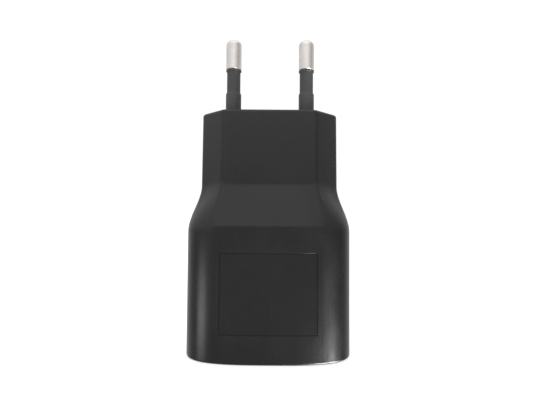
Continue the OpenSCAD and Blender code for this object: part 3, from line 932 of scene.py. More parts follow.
class FinishBook:
    """Holds every finish of the charger, each built once."""

    PLASTIC_BLACK: Colour = (0.0150, 0.0150, 0.0153)
    PLASTIC_BLACK_WARM: Colour = (0.0190, 0.0190, 0.0192)

    def __init__(self) -> None:
        """Builds the materials."""
        plan: dict[str, Finish] = {
            "housing": MouldedPlastic(
                "housing_plastic", self.PLASTIC_BLACK, self.PLASTIC_BLACK_WARM, 0.25, 0.05, gloss=0.32
            ),
            "end_cap": MouldedPlastic(
                "end_cap_plastic", self.PLASTIC_BLACK, self.PLASTIC_BLACK_WARM, 0.44, 0.06, grain=0.22 * MM,
                gloss=0.32
            ),
            "label": MouldedPlastic(
                "label_film", (0.0145, 0.0145, 0.0148), (0.0180, 0.0180, 0.0182), 0.26, 0.04,
                grain=0.09 * MM, grain_depth=0.002 * MM, gloss=0.30, edge_lift=0.1
            ),
            "sleeve": MouldedPlastic(
                "sleeve_plastic", (0.053, 0.053, 0.055), (0.064, 0.064, 0.066), 0.50, 0.08, grain=0.12 * MM,
                gloss=0.35
            ),
            "pin_metal": TurnedMetal("pin_nickel", (0.80, 0.76, 0.73), (0.70, 0.66, 0.63), 0.27, 0.06),
            "spring_bronze": SheetMetal("spring_bronze", (0.62, 0.40, 0.20), (0.50, 0.31, 0.15), 0.30),
            "board": BoardLaminate(
                "board_laminate", (0.020, 0.110, 0.050), (0.030, 0.170, 0.080), 0.28, 0.10
            ),
            "shield_steel": SheetMetal(
                "shield_tin_plate", (0.66, 0.66, 0.65), (0.55, 0.55, 0.54), 0.26, 0.05
            ),
            "tongue_plastic": MouldedPlastic(
                "tongue_nylon", (0.78, 0.76, 0.70), (0.83, 0.81, 0.75), 0.48, 0.06, grain=0.12 * MM,
                edge_lift=0.02, dust=0.1
            ),
            "contact_gold": SheetMetal("contact_gold", (0.85, 0.58, 0.22), (0.75, 0.50, 0.18), 0.22, 0.04),
            "ferrite": FiredOrDipped(
                "core_ferrite", (0.030, 0.028, 0.028), (0.045, 0.042, 0.041), 0.55, 0.08, 0.25 * MM
            ),
            "bobbin_plastic": MouldedPlastic(
                "bobbin_phenolic", (0.012, 0.012, 0.013), (0.018, 0.018, 0.019), 0.42
            ),
            # The winding's second colour is the painted shade in the grooves between its turns.
            "winding_copper": WoundWire(
                "winding_copper", (0.55, 0.22, 0.07), (0.20, 0.07, 0.02), 0.30, 0.06
            ),
            "winding_tape": FiredOrDipped(
                "winding_tape", (0.72, 0.50, 0.05), (0.80, 0.58, 0.08), 0.25, 0.06, 1.5 * MM, 0.03 * MM,
                0.05
            ),
            "capacitor_sleeve_dark": FiredOrDipped(
                "capacitor_sleeve_dark", (0.012, 0.014, 0.022), (0.018, 0.020, 0.030), 0.30, 0.05, 1.2 * MM,
                0.02 * MM, 0.1
            ),
            "capacitor_sleeve_blue": FiredOrDipped(
                "capacitor_sleeve_blue", (0.020, 0.050, 0.150), (0.030, 0.065, 0.190), 0.30, 0.05, 1.2 * MM,
                0.02 * MM, 0.1
            ),
            "chip_plastic": MouldedPlastic(
                "chip_epoxy", (0.015, 0.015, 0.016), (0.021, 0.021, 0.022), 0.52, grain=0.08 * MM
            ),
            "resistor_coat": FiredOrDipped(
                "resistor_lacquer", (0.10, 0.22, 0.08), (0.13, 0.27, 0.10), 0.42
            ),
            "choke_coat": FiredOrDipped("choke_lacquer", (0.05, 0.12, 0.04), (0.07, 0.16, 0.06), 0.38),
            "disc_coat": FiredOrDipped("disc_epoxy", (0.02, 0.09, 0.42), (0.03, 0.12, 0.50), 0.35),
            "chip_ceramic": FiredOrDipped(
                "chip_ceramic", (0.24, 0.17, 0.11), (0.30, 0.22, 0.15), 0.45, 0.08, 0.3 * MM
            )
        }
        self.materials = {slot: finish.make() for slot, finish in plan.items()}

    def __getitem__(self, slot: str) -> bpy.types.Material:
        """Returns the material of a slot."""
        return self.materials[slot]


# ---------------------------------------------------------------- sub-assemblies


@dataclass
class SubAssembly:
    """A group of pieces that are modelled, dressed and reported together."""

    finishes: FinishBook
    pieces: list[bpy.types.Object] = field(default_factory=list, init=False)

    def stand_for(self, piece: bpy.types.Object, node: str, slot: str, body: str = BODY) -> bpy.types.Object:
        """Puts a modelled piece in place of its CAD node.

        Args:
            piece: The modelled piece.
            node: The CAD node that it stands for.
            slot: The material slot of its finish.
            body: The body that it moves with.

        Returns:
            The same piece.
        """
        piece.data.materials.clear()
        piece.data.materials.append(self.finishes[slot])
        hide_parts(node)
        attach(piece, body)
        self.pieces.append(piece)
        return piece

    def dress_node(self, node: str, slot: str) -> None:
        """Gives a CAD node that keeps its shape a finish.

        Args:
            node: The CAD node.
            slot: The material slot of its finish.
        """
        mesh = frame["nodes"][node].data
        mesh.materials.clear()
        mesh.materials.append(self.finishes[slot])
        self.pieces.append(frame["nodes"][node])

    def build(self) -> None:
        """Models and dresses the pieces; each sub-assembly does this in its own way."""
        raise NotImplementedError

    def report(self) -> None:
        """Logs each piece with its size."""
        for piece in self.pieces:
            size = [round(s / MM, 2) for s in piece.dimensions]
            LOG.info("%s: %s mm, %d faces", piece.name, size, len(piece.data.polygons))


@dataclass
class Housing(SubAssembly):
    """The moulded shell with its recess and pin holes, the end cap and the label."""

    shoulder_z: float = 32.1 * MM
    plug_z: float = 41.8 * MM
    plug_width: float = 34.5 * MM
    plug_depth: float = 13.7 * MM
    end_flat: float = 2.1 * MM
    draft: float = 0.15 * MM
    fullness: float = 3.1
    wall: float = 1.6 * MM
    cap_wall: float = 1.1 * MM
    cap_thickness: float = 2.4 * MM
    face_wall: float = 2.5 * MM
    corner_radius: float = 1.5 * MM
    base_radius: float = 0.55 * MM
    face_radius: float = 0.8 * MM
    recess_depth: float = 0.2 * MM
    gap: float = 0.03 * MM

    def __post_init__(self) -> None:
        """Reads the driving sizes from the frame."""
        low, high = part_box("housing_shell")
        self.half_width, self.half_depth, self.height = high.x, high.y, high.z
        label_low, label_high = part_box("rating_label")
        edge = 0.25 * MM
        self.recess_half = label_high.x + edge
        self.recess_low, self.recess_high = label_low.z - edge, label_high.z + edge
        self.pin_x = (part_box("pin_right")[0].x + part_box("pin_right")[1].x) / 2

    def oval_point(self, angle: float, inset: float) -> Point:
        """Gives the lower block's outline in one direction.

        Args:
            angle: Direction from the centre, in degrees.
            inset: How far the outline is moved in.

        Returns:
            The point on the squared oval.
        """
        w, d, n = self.half_width - inset, self.half_depth - inset, self.fullness
        x, y = math.cos(math.radians(angle)), math.sin(math.radians(angle))
        reach = ((x / w) ** n + (y / d) ** n) ** (-1 / n)
        return reach * x, reach * y

    def oval_across(self, x: float, inset: float) -> Point:
        """Gives the lower block's outline at a distance from the middle."""
        w, d, n = self.half_width - inset, self.half_depth - inset, self.fullness
        return x, d * (1 - (x / w) ** n) ** (1 / n)

    def lower_quarter(self, inset: float) -> list[Point]:
        """Gives one quarter of the lower block's outline, closest together where it turns most.

        The front points draw in with the inset, so that the outline never doubles back.

        Args:
            inset: How far the outline is moved in.

        Returns:
            The points, from the side to the middle of the front.
        """
        angles = [0, 5, *[10 + 1.2 * i for i in range(6)], *[16 + 2 * i for i in range(1, 9)],
                  *[34 + 1.2 * i for i in range(6)]]
        reach = self.recess_half * (self.half_width - inset) / self.half_width
        front = [self.oval_across(reach * (9 - i) / 9, inset) for i in range(10)]
        return [self.oval_point(a, inset) for a in angles] + front

    def mouth_quarter(self, half_width: float, half_depth: float, radius: float) -> list[Point]:
        """Gives one quarter of the port mouth's outline.

        Args:
            half_width: Half its width.
            half_depth: Half its depth.
            radius: Radius of its corners.

        Returns:
            As many points as lower_quarter gives.
        """
        side = [(half_width, (half_depth - radius) * i / 4) for i in range(4)]
        corner = arc((half_width - radius, half_depth - radius), radius, 0, 90, 8)
        left = len(self.lower_quarter(0.0)) - len(side) - len(corner)
        front = [((half_width - radius) * (left - i) / left, half_depth) for i in range(1, left + 1)]
        return side + corner + front

    def plug_quarter(self, inset: float, radius: float) -> list[Point]:
        """Gives one quarter of the plug section's eight-sided outline, with its corners rounded.

        Args:
            inset: How far the outline is moved in.
            radius: Radius of the long corners.

        Returns:
            As many points as lower_quarter gives.
        """
        w, d = self.plug_width / 2 - inset, self.plug_depth / 2 - inset
        y = self.end_flat / 2 - inset * (math.sqrt(2) - 1)
        setback = radius * math.tan(math.radians(22.5))
        side = arc((w - radius, y - setback), radius, 0, 45, 5)
        front = arc((w - (d - y) - setback, d - radius), radius, 45, 90, 5)
        last = front[-1]
        flat = [(last[0] * 0.88 * (9 - i) / 9, d) for i in range(10)]
        return [(w, 0.0), (w, side[0][1] / 2), *side, *between(side[-1], front[0], 8), *front, *flat]

    def ring(self, z: float, inset: float, radius: float, drop: float = 0.0) -> Ring:
        """Gives the body's outline at a height.

        Args:
            z: The height.
            inset: How far the outline is moved in.
            radius: Radius of the plug section's long corners.
            drop: How much lower the shoulder sits on the inside.

        Returns:
            The ring, anticlockwise.
        """
        level = z + drop
        side = ease(level, self.shoulder_z - 1.7 * MM, self.plug_z + 0.2 * MM)
        grown = self.draft * min(1.0, (self.height - z) / (self.height - self.plug_z))
        low, plug = self.lower_quarter(inset), self.plug_quarter(inset - grown, radius)
        quarter = []
        for i, (a, b) in enumerate(zip(low, plug)):
            soft = ease(23 - i, 0, 7)
            front = ramp(
                level, self.shoulder_z, self.plug_z, mix(0.25, 2.6, soft) * MM, mix(0.35, 2.2, soft) * MM
            )
            share = mix(side, front, min(1.0, max(0.0, (i - 9) / 9)))
            quarter.append((mix(a[0], b[0], share), mix(a[1], b[1], share)))
        return at_height(four_quarters(quarter), z)

    def shell(self) -> bpy.types.Object:
        """Models the shell from its inside ceiling, down and round the rim, up to the plug face.

        Returns:
            The shell.
        """
        inner_radius, drop = 0.4 * MM, 0.4 * MM
        ceiling = self.height - self.face_wall
        inner = [
            self.ring(z, self.wall, inner_radius, drop)
            for z in [
                ceiling, self.plug_z, *[self.plug_z - i * 1.4 * MM for i in range(1, 9)], 26 * MM, 12 * MM
            ]
        ]
        step = [
            self.ring(self.cap_thickness + 0.02 * MM, inset, inner_radius)
            for inset in (self.wall, self.cap_wall)
        ]
        rim = [
            self.ring(0.12 * MM, self.cap_wall, inner_radius),
            self.ring(0, self.cap_wall + 0.1 * MM, inner_radius)
        ]
        base = [(0.0, self.base_radius)] + [
            (self.base_radius * (1 - math.cos(a)), self.base_radius * (1 - math.sin(a)))
            for a in (math.radians(15 * i) for i in range(1, 7))]
        body = [
            3.4 * MM, self.recess_low, 11.5 * MM, 16.2 * MM, 21 * MM, self.recess_high, 28 * MM, 30.2 * MM,
            31 * MM, 31.5 * MM
        ]
        edge = [self.shoulder_z + i * 0.125 * MM for i in range(-2, 3)]
        slope = [33 * MM, 34 * MM, 35 * MM, 36 * MM, 37 * MM, 38 * MM, 39 * MM, 40 * MM, 40.7 * MM]
        hollow = [self.plug_z + i * 0.15 * MM for i in range(-3, 4)]
        neck = [43.2 * MM, 47 * MM, 52 * MM, 56 * MM]
        face = [(self.height - self.face_radius * (1 - math.sin(a)), self.face_radius * (1 - math.cos(a)))
                for a in (math.radians(15 * i) for i in range(7))]
        levels = base + [(z, 0.0) for z in body + edge + slope + hollow + neck] + face
        outer = [self.ring(z, inset, self.corner_radius) for z, inset in levels]
        shell = grow("shell", inner + step + rim + outer)
        self.press_recess(shell)
        for x in (-self.pin_x, self.pin_x):
            cut(shell, self.pin_hole(x))
        finish_surface(shell, 40)
        return shell

    def press_recess(self, shell: bpy.types.Object) -> None:
        """Sinks the label recess into the front of the lower block."""
        def on_front(face: bmesh.types.BMFace) -> bool:
            """Tells whether a face lies on the outer front, inside the recess's outline."""
            c = face.calc_center_median()
            return (abs(c.x) < self.recess_half and self.recess_low < c.z < self.recess_high
                    and c.y < -(self.half_depth - self.wall / 2) * 0.9)
        with editing(shell, "FACE"):
            LOG.info("recess faces: %d", select_faces(shell, on_front))
            bpy.ops.mesh.inset(thickness=0.04 * MM, depth=-0.02 * MM, use_even_offset=True)
            bpy.ops.mesh.inset(
                thickness=0.03 * MM, depth=-(self.recess_depth - 0.04 * MM), use_even_offset=True
            )
            bpy.ops.mesh.inset(thickness=0.04 * MM, depth=-0.02 * MM, use_even_offset=True)

    def pin_hole(self, x: float) -> bpy.types.Object:
        """Models the cutter for a pin's hole, with a small eased mouth.

        Args:
            x: Where the pin stands across the plug face.

        Returns:
            The cutter.
        """
        r = 2.03 * MM
        top = self.height
        profile = [(r, top - self.face_wall - MM), (r, top - 0.25 * MM), (r + 0.07 * MM, top - 0.1 * MM),
                   (r + 0.25 * MM, top), (r + 0.25 * MM, top + MM)]
        return lathe("pin_hole", profile, (x, 0.0), 48)

    def cap(self) -> bpy.types.Object:
        """Models the end cap: an eased plate with a stepped, chamfered mouth for the USB socket.

        Returns:
            The end cap.
        """
        inset = self.cap_wall + self.gap
        levels = [
            (0.0, inset + 0.8 * MM), (0.0, inset + 0.2 * MM), (0.05 * MM, inset + 0.06 * MM),
            (0.2 * MM, inset), (self.cap_thickness - 0.1 * MM, inset),
            (self.cap_thickness, inset + 0.1 * MM)
        ]
        top = self.cap_thickness / MM
        outside = [at_height(four_quarters(self.lower_quarter(i)), z) for z, i in levels]
        mouth = [
            at_height(four_quarters(self.mouth_quarter(w * MM, d * MM, r * MM)), z * MM)
            for w, d, r, z in (
                (6.67, 2.98, 0.6, top), (6.67, 2.98, 0.6, 0.7), (6.5, 2.81, 0.7, 0.69),
                (6.5, 2.81, 0.7, 0.42), (6.57, 2.88, 0.77, 0.3), (6.85, 3.15, 1.05, 0.04),
                (6.95, 3.25, 1.15, 0.0), (7.5, 3.8, 1.7, 0.0)
            )
        ]
        cap = grow("cap", outside + mouth, loop=True)
        posts = [
            block(
                "post", (x * MM, y, self.cap_thickness - 0.02 * MM),
                ((x + 2) * MM, y + 1.1 * MM, self.cap_thickness + 2.6 * MM), 0.15 * MM
            )
            for x in (-16.4, 14.4) for y in (self.board_front() - 1.13 * MM, self.board_back() + 0.03 * MM)
        ]
        unite(cap, posts)
        finish_surface(cap, 30)
        return cap

    @staticmethod
    def board_front() -> float:
        """Returns where the board's front face lies."""
        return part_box("main_board")[0].y

    @staticmethod
    def board_back() -> float:
        """Returns where the board's back face lies."""
        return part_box("main_board")[1].y

    def label(self) -> bpy.types.Object:
        """Models the blank label: a thin film with round corners that follows the front's curve.

        Returns:
            The label.
        """
        low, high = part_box("rating_label")
        width, height, middle_z = high.x - low.x, high.z - low.z, (low.z + high.z) / 2
        under, over, chamfer = self.recess_depth - 0.01 * MM, self.recess_depth - 0.1 * MM, 0.02 * MM
        rings = []
        for depth, inset in ((under, 0.0), (over + chamfer, 0.0), (over, chamfer)):
            outline = rounded_rectangle(width - 2 * inset, height - 2 * inset, 0.7 * MM, 6)
            rings.append([Vector((x, depth, middle_z + z)) for x, z in outline])
        label = grow("label", rings)
        with editing(label):
            for i in range(1, 24):
                bpy.ops.mesh.select_all(action="SELECT")
                bpy.ops.mesh.bisect(plane_co=(mix(low.x, high.x, i / 24), 0, 0), plane_no=(1, 0, 0))
            mesh = bmesh.from_edit_mesh(label.data)
            for vert in mesh.verts:
                vert.co.y = -self.oval_across(abs(vert.co.x), vert.co.y)[1]
            bmesh.update_edit_mesh(label.data)
            bpy.ops.mesh.select_all(action="SELECT")
            bpy.ops.mesh.normals_make_consistent(inside=False)
        finish_surface(label, 30)
        return label

    def build(self) -> None:
        """Models and dresses the shell, the end cap and the label."""
        self.stand_for(self.shell(), "housing_shell", "housing")
        self.stand_for(self.cap(), "usb_end_cap", "end_cap")
        self.stand_for(self.label(), "rating_label", "label")


@dataclass
class MainsPins(SubAssembly):
    """The two round pins, their insulating sleeves and the springs that press on them inside."""

    shank_radius: float = 1.5 * MM
    collar_radius: float = 2.5 * MM
    slim_radius: float = 1.75 * MM
    root_height: float = 5.6 * MM
    bare_length: float = 7.7 * MM
    tip_round: float = 1.3 * MM
    rim_height: float = 0.45 * MM
    gap: float = 0.03 * MM

    def pin(self, side: str) -> bpy.types.Object:
        """Models one pin with its rounded tip.

        Args:
            side: left or right.

        Returns:
            The pin.
        """
        low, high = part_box(f"pin_{side}")
        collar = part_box("housing_shell")[1].z - 2.5 * MM
        r, top, bare = self.pin_radius(), high.z, high.z - self.bare_length
        tip = arc((r - self.tip_round, top - self.tip_round), self.tip_round, 0, 86, 10)
        profile = [(self.shank_radius - 0.2 * MM, low.z), (self.shank_radius, low.z + 0.2 * MM),
                   (self.shank_radius, collar - 1.03 * MM), (self.collar_radius, collar - 1.03 * MM),
                   (self.collar_radius, collar - self.gap), (self.shank_radius, collar - self.gap),
                   (self.shank_radius, bare), (r - 0.06 * MM, bare), (r, bare + 0.06 * MM),
                   (r, bare + 2 * MM), (r, bare + 4 * MM), *tip, (0.25 * MM, top)]
        pin = lathe(f"pin_{side}_turned", profile, self.centre(side), 64)
        finish_surface(pin, 35)
        return pin

    @staticmethod
    def pin_radius() -> float:
        """Returns the radius of a sleeve's root, which is the bare pin's radius too."""
        low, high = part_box("sleeve_left")
        return (high.x - low.x) / 2

    @staticmethod
    def centre(side: str) -> Point:
        """Returns where a pin's axis stands."""
        low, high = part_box(f"pin_{side}")
        return (low.x + high.x) / 2, (low.y + high.y) / 2

    def sleeve(self, side: str) -> bpy.types.Object:
        """Models one sleeve: a thick root, a slim neck and a small rim under the bare metal.

        Args:
            side: left or right.

        Returns:
            The sleeve.
        """
        low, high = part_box(f"sleeve_{side}")
        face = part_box("housing_shell")[1].z
        r, slim, bore = self.pin_radius(), self.slim_radius, self.shank_radius + self.gap
        step = face + self.root_height
        rim = high.z - self.rim_height
        outside = [
            (bore, low.z), (r - 0.1 * MM, low.z), (r, low.z + 0.1 * MM), (r, face - MM), (r, face + 2 * MM),
            (r, step - 0.25 * MM), (r - 0.05 * MM, step - 0.14 * MM), (slim + 0.03 * MM, step + 0.12 * MM),
            (slim, step + 0.22 * MM), (slim, step + 2 * MM), (slim, rim - 1.5 * MM), (slim, rim - 0.1 * MM),
            (slim + 0.03 * MM, rim - 0.02 * MM), (r - 0.04 * MM, rim), (r, rim + 0.04 * MM),
            (r, high.z - 0.05 * MM), (r - 0.05 * MM, high.z), (bore, high.z)
        ]
        sleeve = lathe(f"sleeve_{side}_moulded", outside, self.centre(side), 64, loop=True)
        finish_surface(sleeve, 35)
        return sleeve

    def build(self) -> None:
        """Models and dresses both pins and sleeves, and dresses their springs."""
        for side in ("left", "right"):
            self.stand_for(self.pin(side), f"pin_{side}", "pin_metal")
            self.stand_for(self.sleeve(side), f"sleeve_{side}", "sleeve")
            self.dress_node(f"pin_contact_{side}", "spring_bronze")


@dataclass
class UsbSocket(SubAssembly):
    """The USB socket: folded shield, tongue, four sprung blades and their tails."""

    width: float = 12.5 * MM
    depth: float = 5.12 * MM
    sheet: float = 0.3 * MM
    fold_radius: float = 0.62 * MM
    spring_x: float = 3.1 * MM
    spring_width: float = 1.6 * MM
    window_low: float = 4 * MM
    window_high: float = 9 * MM
    tongue_face: float = -0.1 * MM
    tongue_thickness: float = 1.84 * MM
    tongue_width: float = 11.1 * MM
    block_low: float = 10.6 * MM
    block_high: float = 14.35 * MM
    groove_width: float = 1.3 * MM
    blade_width: float = 1.0 * MM
    blade_thickness: float = 0.25 * MM
    root_y: float = -0.62 * MM
    tail_z: float = 13.4 * MM
    spring_sheet: float = 0.22 * MM
    spring_clearance: float = 0.5 * MM
    leg_width: float = 1.2 * MM
    leg_heights: tuple[float, float] = (4 * MM, 10 * MM)
    tail_way_half: float = 4.3 * MM
    groove_floor: float = -1.5 * MM
    blade_x: tuple[float, ...] = (-3.5 * MM, -1 * MM, 1 * MM, 3.5 * MM)

    def fold(self, z: float, inset: float) -> Ring:
        """Gives the shield's outline at a height, moved in from its outside."""
        return at_height(
            rounded_rectangle(
                self.width + 2 * (self.sheet - inset), self.depth + 2 * (self.sheet - inset),
                self.fold_radius - inset * 0.85, 5, 3
            ),
            z
        )

    def shield(self) -> bpy.types.Object:
        """Models the shield: a folded tube with eased lips, two windows, their springs and four legs.

        Returns:
            The shield.
        """
        low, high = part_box("usb_shield")
        t, lip = self.sheet, 0.07 * MM
        outside = [
            (low.z + 0.5 * MM, 0.0), (high.z - lip, 0.0), (high.z, lip), (high.z, t - lip),
            (high.z - lip, t), (low.z + 0.5 * MM, t), (low.z + 0.16 * MM, t - 0.03 * MM),
            (low.z + 0.05 * MM, t - 0.1 * MM), (low.z, t - 0.17 * MM), (low.z, 0.06 * MM),
            (low.z + 0.06 * MM, 0.0)
        ]
        shield = grow("usb_shield_folded", [self.fold(z, inset) for z, inset in outside], loop=True)
        front = -self.depth / 2
        for x in (-self.spring_x, self.spring_x):
            half = self.spring_width / 2 + self.spring_clearance
            cut(
                shield,
                block(
                    "window", (x - half, front - MM, self.window_low),
                    (x + half, front + MM, self.window_high)
                )
            )
        cut(
            shield,
            block(
                "tail_way", (-self.tail_way_half, MM, self.tail_z - 0.5 * MM),
                (self.tail_way_half, 5 * MM, high.z - 0.15 * MM)
            )
        )
        bend = flowing(
            [
                (front - 0.15 * MM, self.window_high + 0.3 * MM),
                (front - 0.15 * MM, self.window_high - 0.5 * MM),
                (front - 0.1 * MM, self.window_low + 3.3 * MM),
                (front + 0.1 * MM, self.window_low + 2 * MM),
                (front + 0.16 * MM, self.window_low + 1.5 * MM),
                (front + 0.08 * MM, self.window_low + 0.9 * MM),
                (front - 0.1 * MM, self.window_low + 0.3 * MM)
            ],
            3
        )
        springs = [
            strip("spring", bend, self.spring_sheet, x, self.spring_width)
            for x in (-self.spring_x, self.spring_x)
        ]
        side = self.width / 2 + t / 2
        legs = [
            block(
                "leg", (x - t * 0.47, self.depth / 2 - 0.5 * MM, z), (x + t * 0.47, high.y,
                        z + self.leg_width),
                0.06 * MM
            )
            for x in (-side, side) for z in self.leg_heights
        ]
        unite(shield, springs + legs)
        finish_surface(shield, 35)
        return shield

    def tongue(self) -> bpy.types.Object:
        """Models the tongue with its eased front edge and the grooves that the blades lie in.

        Returns:
            The tongue and the block that carries it.
        """
        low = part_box("usb_tongue")[0].z
        face, half = self.tongue_face, self.tongue_width / 2
        middle = face - self.tongue_thickness / 2
        slab = []
        for z, inset in ((low, 0.34), (low + 0.12 * MM, 0.2), (low + 0.34 * MM, 0.07), (low + 0.6 * MM, 0.0),
                         (self.block_low + 0.2 * MM, 0.0)):
            outline = rounded_rectangle(
                2 * (half - inset * MM), self.tongue_thickness - 2 * inset * MM, 0.18 * MM, 3
            )
            slab.append([Vector((x, middle + y, z)) for x, y in outline])
        tongue = grow("usb_tongue_moulded", slab)
        unite(
            tongue,
            [
                grow(
                    "block",
                    [
                        at_height(rounded_rectangle(self.width - w * MM, self.depth - w * MM, 0.3 * MM), z)
                        for z, w in (
                            (self.block_low, 0.3), (self.block_low + 0.12 * MM, 0.06),
                            (self.block_high - 0.1 * MM, 0.06), (self.block_high, 0.26)
                        )
                    ]
                )
            ]
        )
        for x in self.blade_x:
            a, b = x - self.groove_width / 2, x + self.groove_width / 2
            under, over = self.root_y - 0.33 * MM, self.root_y + 0.42 * MM
            cut(tongue, block("groove", (a, self.groove_floor, low + 0.4 * MM), (b, MM, self.block_low)))
            cut(
                tongue,
                block("throat", (a, under, self.block_low - 0.05 * MM), (b, over, self.tail_z + 0.3 * MM))
            )
            cut(
                tongue,
                block("exit", (a, under, self.tail_z - 0.25 * MM), (b, self.depth, self.tail_z + 0.3 * MM))
            )
        finish_surface(tongue, 30)
        return tongue

    def blade(self, number: int) -> bpy.types.Object:
        """Models one sprung blade with its rounded contact point.

        Args:
            number: 1 to 4, from the left.

        Returns:
            The blade.
        """
        path = flowing(
            [
                (self.root_y, 10.4 * MM), (-0.5 * MM, 8.8 * MM), (-0.3 * MM, 7.2 * MM),
                (0.04 * MM, 5.3 * MM), (0.16 * MM, 4.6 * MM), (0.04 * MM, 3.9 * MM), (-0.5 * MM, 2.9 * MM),
                (self.root_y, 2.55 * MM)
            ],
            5
        )
        blade = strip(
            f"usb_blade_{number}", path, self.blade_thickness, self.blade_x[number - 1], self.blade_width
        )
        finish_surface(blade, 50)
        return blade

    def tail(self, number: int) -> bpy.types.Object:
        """Models the fixed tail of a blade, bent from the block down through the board.

        Args:
            number: 1 to 4, from the left.

        Returns:
            The tail.
        """
        end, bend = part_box("usb_contact_tails")[1].y, 0.35 * MM
        corner = arc((self.root_y + bend, self.tail_z - bend), bend, 180, 90, 5)
        path = [(self.root_y, self.block_low + 0.15 * MM), (self.root_y, 12 * MM), *corner,
                (1.5 * MM, self.tail_z), (end, self.tail_z)]
        tail = strip(
            f"usb_tail_{number}", path, self.blade_thickness, self.blade_x[number - 1], self.blade_width
        )
        finish_surface(tail, 50)
        return tail

    def build(self) -> None:
        """Models and dresses the socket's pieces; each blade rides on the body that bends."""
        self.stand_for(self.shield(), "usb_shield", "shield_steel")
        self.stand_for(self.tongue(), "usb_tongue", "tongue_plastic")
        for number in range(1, 5):
            self.stand_for(self.blade(number), f"usb_contact_{number}", "contact_gold", f"blade_{number}")
            self.stand_for(self.tail(number), "usb_contact_tails", "contact_gold")


@dataclass
class BoardAssembly(SubAssembly):
    """The circuit board with its components and the transformer."""

    def build(self) -> None:
        """Dresses every node that the record gives a slot and that no other sub-assembly dresses."""
        taken = ("housing_shell", "usb_end_cap", "rating_label", "pin_", "sleeve_", "usb_")
        for part in frame["record"]["subparts"]:
            if not part["node"].startswith(taken):
                self.dress_node(part["node"], part["material_slot"])


# ---------------------------------------------------------------- studio


@dataclass(frozen=True)
class Softbox:
    """An area light aimed at a point of the charger."""

    name: str
    place: tuple[float, float, float]
    aim: tuple[float, float, float]
    width: float
    height: float
    power: float
    roll: float = 0.0
    glint_only: bool = False

    def build(self) -> bpy.types.Object:
        """Makes the light and returns it."""
        data = bpy.data.lights.new(self.name, "AREA")
        data.shape = "RECTANGLE"
        data.size, data.size_y, data.energy = self.width, self.height, self.power
        light = bpy.data.objects.new(self.name, data)
        bpy.context.scene.collection.objects.link(light)
        light.location = self.place
        light.visible_diffuse = not self.glint_only
        facing = (Vector(self.aim) - Vector(self.place)).to_track_quat("-Z", "Y")
        light.rotation_euler = (facing @ Quaternion((0, 0, 1), math.radians(self.roll))).to_euler()
        return light


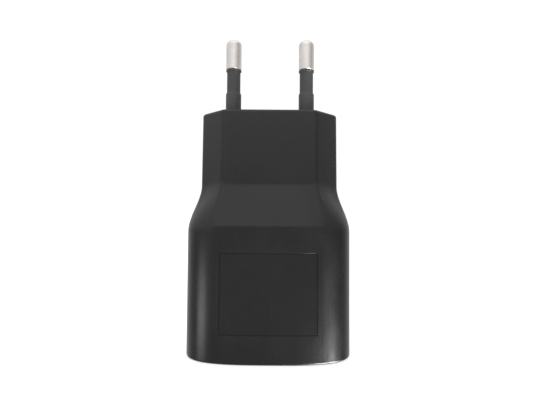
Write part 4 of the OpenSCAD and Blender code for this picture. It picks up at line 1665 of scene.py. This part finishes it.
@dataclass
class Studio:
    """The pale floor and surround, the soft lights and the camera."""

    low_light: float = 0.32
    high_light: float = 1.12
    left_share: float = 0.75
    right_share: float = 0.35
    back_light: float = 0.75
    camera_x: float = 0.86 * MM
    camera_distance: float = 110.6 * MM
    camera_height: float = 34.5 * MM
    camera_pitch: float = 0.036
    camera_roll: float = 0.007
    lens: float = 28.2
    floor_size: float = 60.0
    floor_glow: float = 0.45

    def camera(self) -> None:
        """Sets the camera just in front of the charger, a little below its middle."""
        data = bpy.data.cameras.new("camera")
        data.lens, data.sensor_width, data.clip_start, data.clip_end = self.lens, 36.0, 0.005, 50.0
        camera = bpy.data.objects.new("camera", data)
        bpy.context.scene.collection.objects.link(camera)
        place = Matrix.Translation((self.camera_x, -self.camera_distance, self.camera_height))
        aim = Matrix.Rotation(math.pi / 2 + self.camera_pitch, 4, "X") @ Matrix.Rotation(
            self.camera_roll, 4, "Z"
        )
        camera.matrix_world = place @ aim
        bpy.context.scene.camera = camera

    def floor(self) -> None:
        """Lays the plain pale floor."""
        deselect_all()
        bpy.ops.mesh.primitive_plane_add(size=self.floor_size, location=(0, 0, 0))
        floor = bpy.context.object
        floor.name = "floor"
        floor.location.z = -0.02 * MM
        material = bpy.data.materials.new("floor_paper")
        material.use_nodes = True
        g = Graph(material.node_tree)
        tone = g.tint(g.noise(g.place(), 160.0, 3.0), (0.90, 0.90, 0.90, 1), (0.93, 0.93, 0.93, 1))
        shader = g.add(
            "BsdfPrincipled",
            {
                "Base Color": tone, "Roughness": 0.9, "Specular IOR Level": 0.1,
                "Emission Color": (1, 1, 1, 1), "Emission Strength": self.floor_glow
            }
        )
        g.tree.links.new(shader.outputs[0], g.add("OutputMaterial").inputs[0])
        floor.data.materials.append(material)
        floor.visible_glossy = floor.visible_shadow = False

    def surround(self) -> None:
        """Makes the white surround, dimmer behind the camera than at the sides."""
        world = bpy.data.worlds.new("surround")
        bpy.context.scene.world = world
        world.use_nodes = True
        g = Graph(world.node_tree)
        way = g.add("SeparateXYZ", {0: g.add("TexCoord").outputs["Generated"]}).outputs
        upper = g.spread(way["Z"], 0.03, 0.24, self.low_light, self.high_light)
        sides = g.math("MULTIPLY", g.spread(way["X"], 0.25, 0.95, 1.0, self.right_share),
                       g.spread(way["X"], -0.95, -0.3, self.left_share, 1.0))
        light = g.blend(g.spread(way["Y"], -0.1, 0.6), g.math("MULTIPLY", upper, sides), self.back_light)
        strength = g.blend(g.add("LightPath").outputs["Is Camera Ray"], light, 1.05)
        background = g.add("Background", {"Color": (1, 1, 1, 1), "Strength": strength})
        g.tree.links.new(background.outputs[0], g.add("OutputWorld").inputs[0])

    def build(self) -> None:
        """Makes the whole studio."""
        self.surround()
        self.floor()
        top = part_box("housing_shell")[1].z
        lights = (
            Softbox("top_softbox", (0.0, -0.1, 0.9), (0, 0, 0), 1.2, 1.0, 1.0),
            Softbox(
                "left_reflector", (-0.26, -0.14, -0.05), (0, 0, top / 4), 0.10, 0.06, 0.11, glint_only=True
            ),
            Softbox(
                "right_reflector", (0.25, -0.17, -0.28), (0, 0, 0), 0.26, 0.26, 9.0, 45.0, glint_only=True
            ),
            Softbox(
                "right_edge_reflector", (0.31, -0.08, -0.27), (0, 0, 0), 0.22, 0.22, 1.2, 45.0,
                glint_only=True
            )
        )
        for light in lights:
            light.build()
        self.camera()
        bpy.context.scene.view_settings.view_transform = "Standard"


def main() -> None:
    """Builds the studio and every sub-assembly in order, and reports their pieces."""
    logging.basicConfig(level=logging.INFO, format="%(name)s: %(message)s")
    finishes = FinishBook()
    for assembly in (Housing(finishes), MainsPins(finishes), UsbSocket(finishes), BoardAssembly(finishes)):
        assembly.build()
        assembly.report()
    Studio().build()


if __name__ == "__main__":
    main()
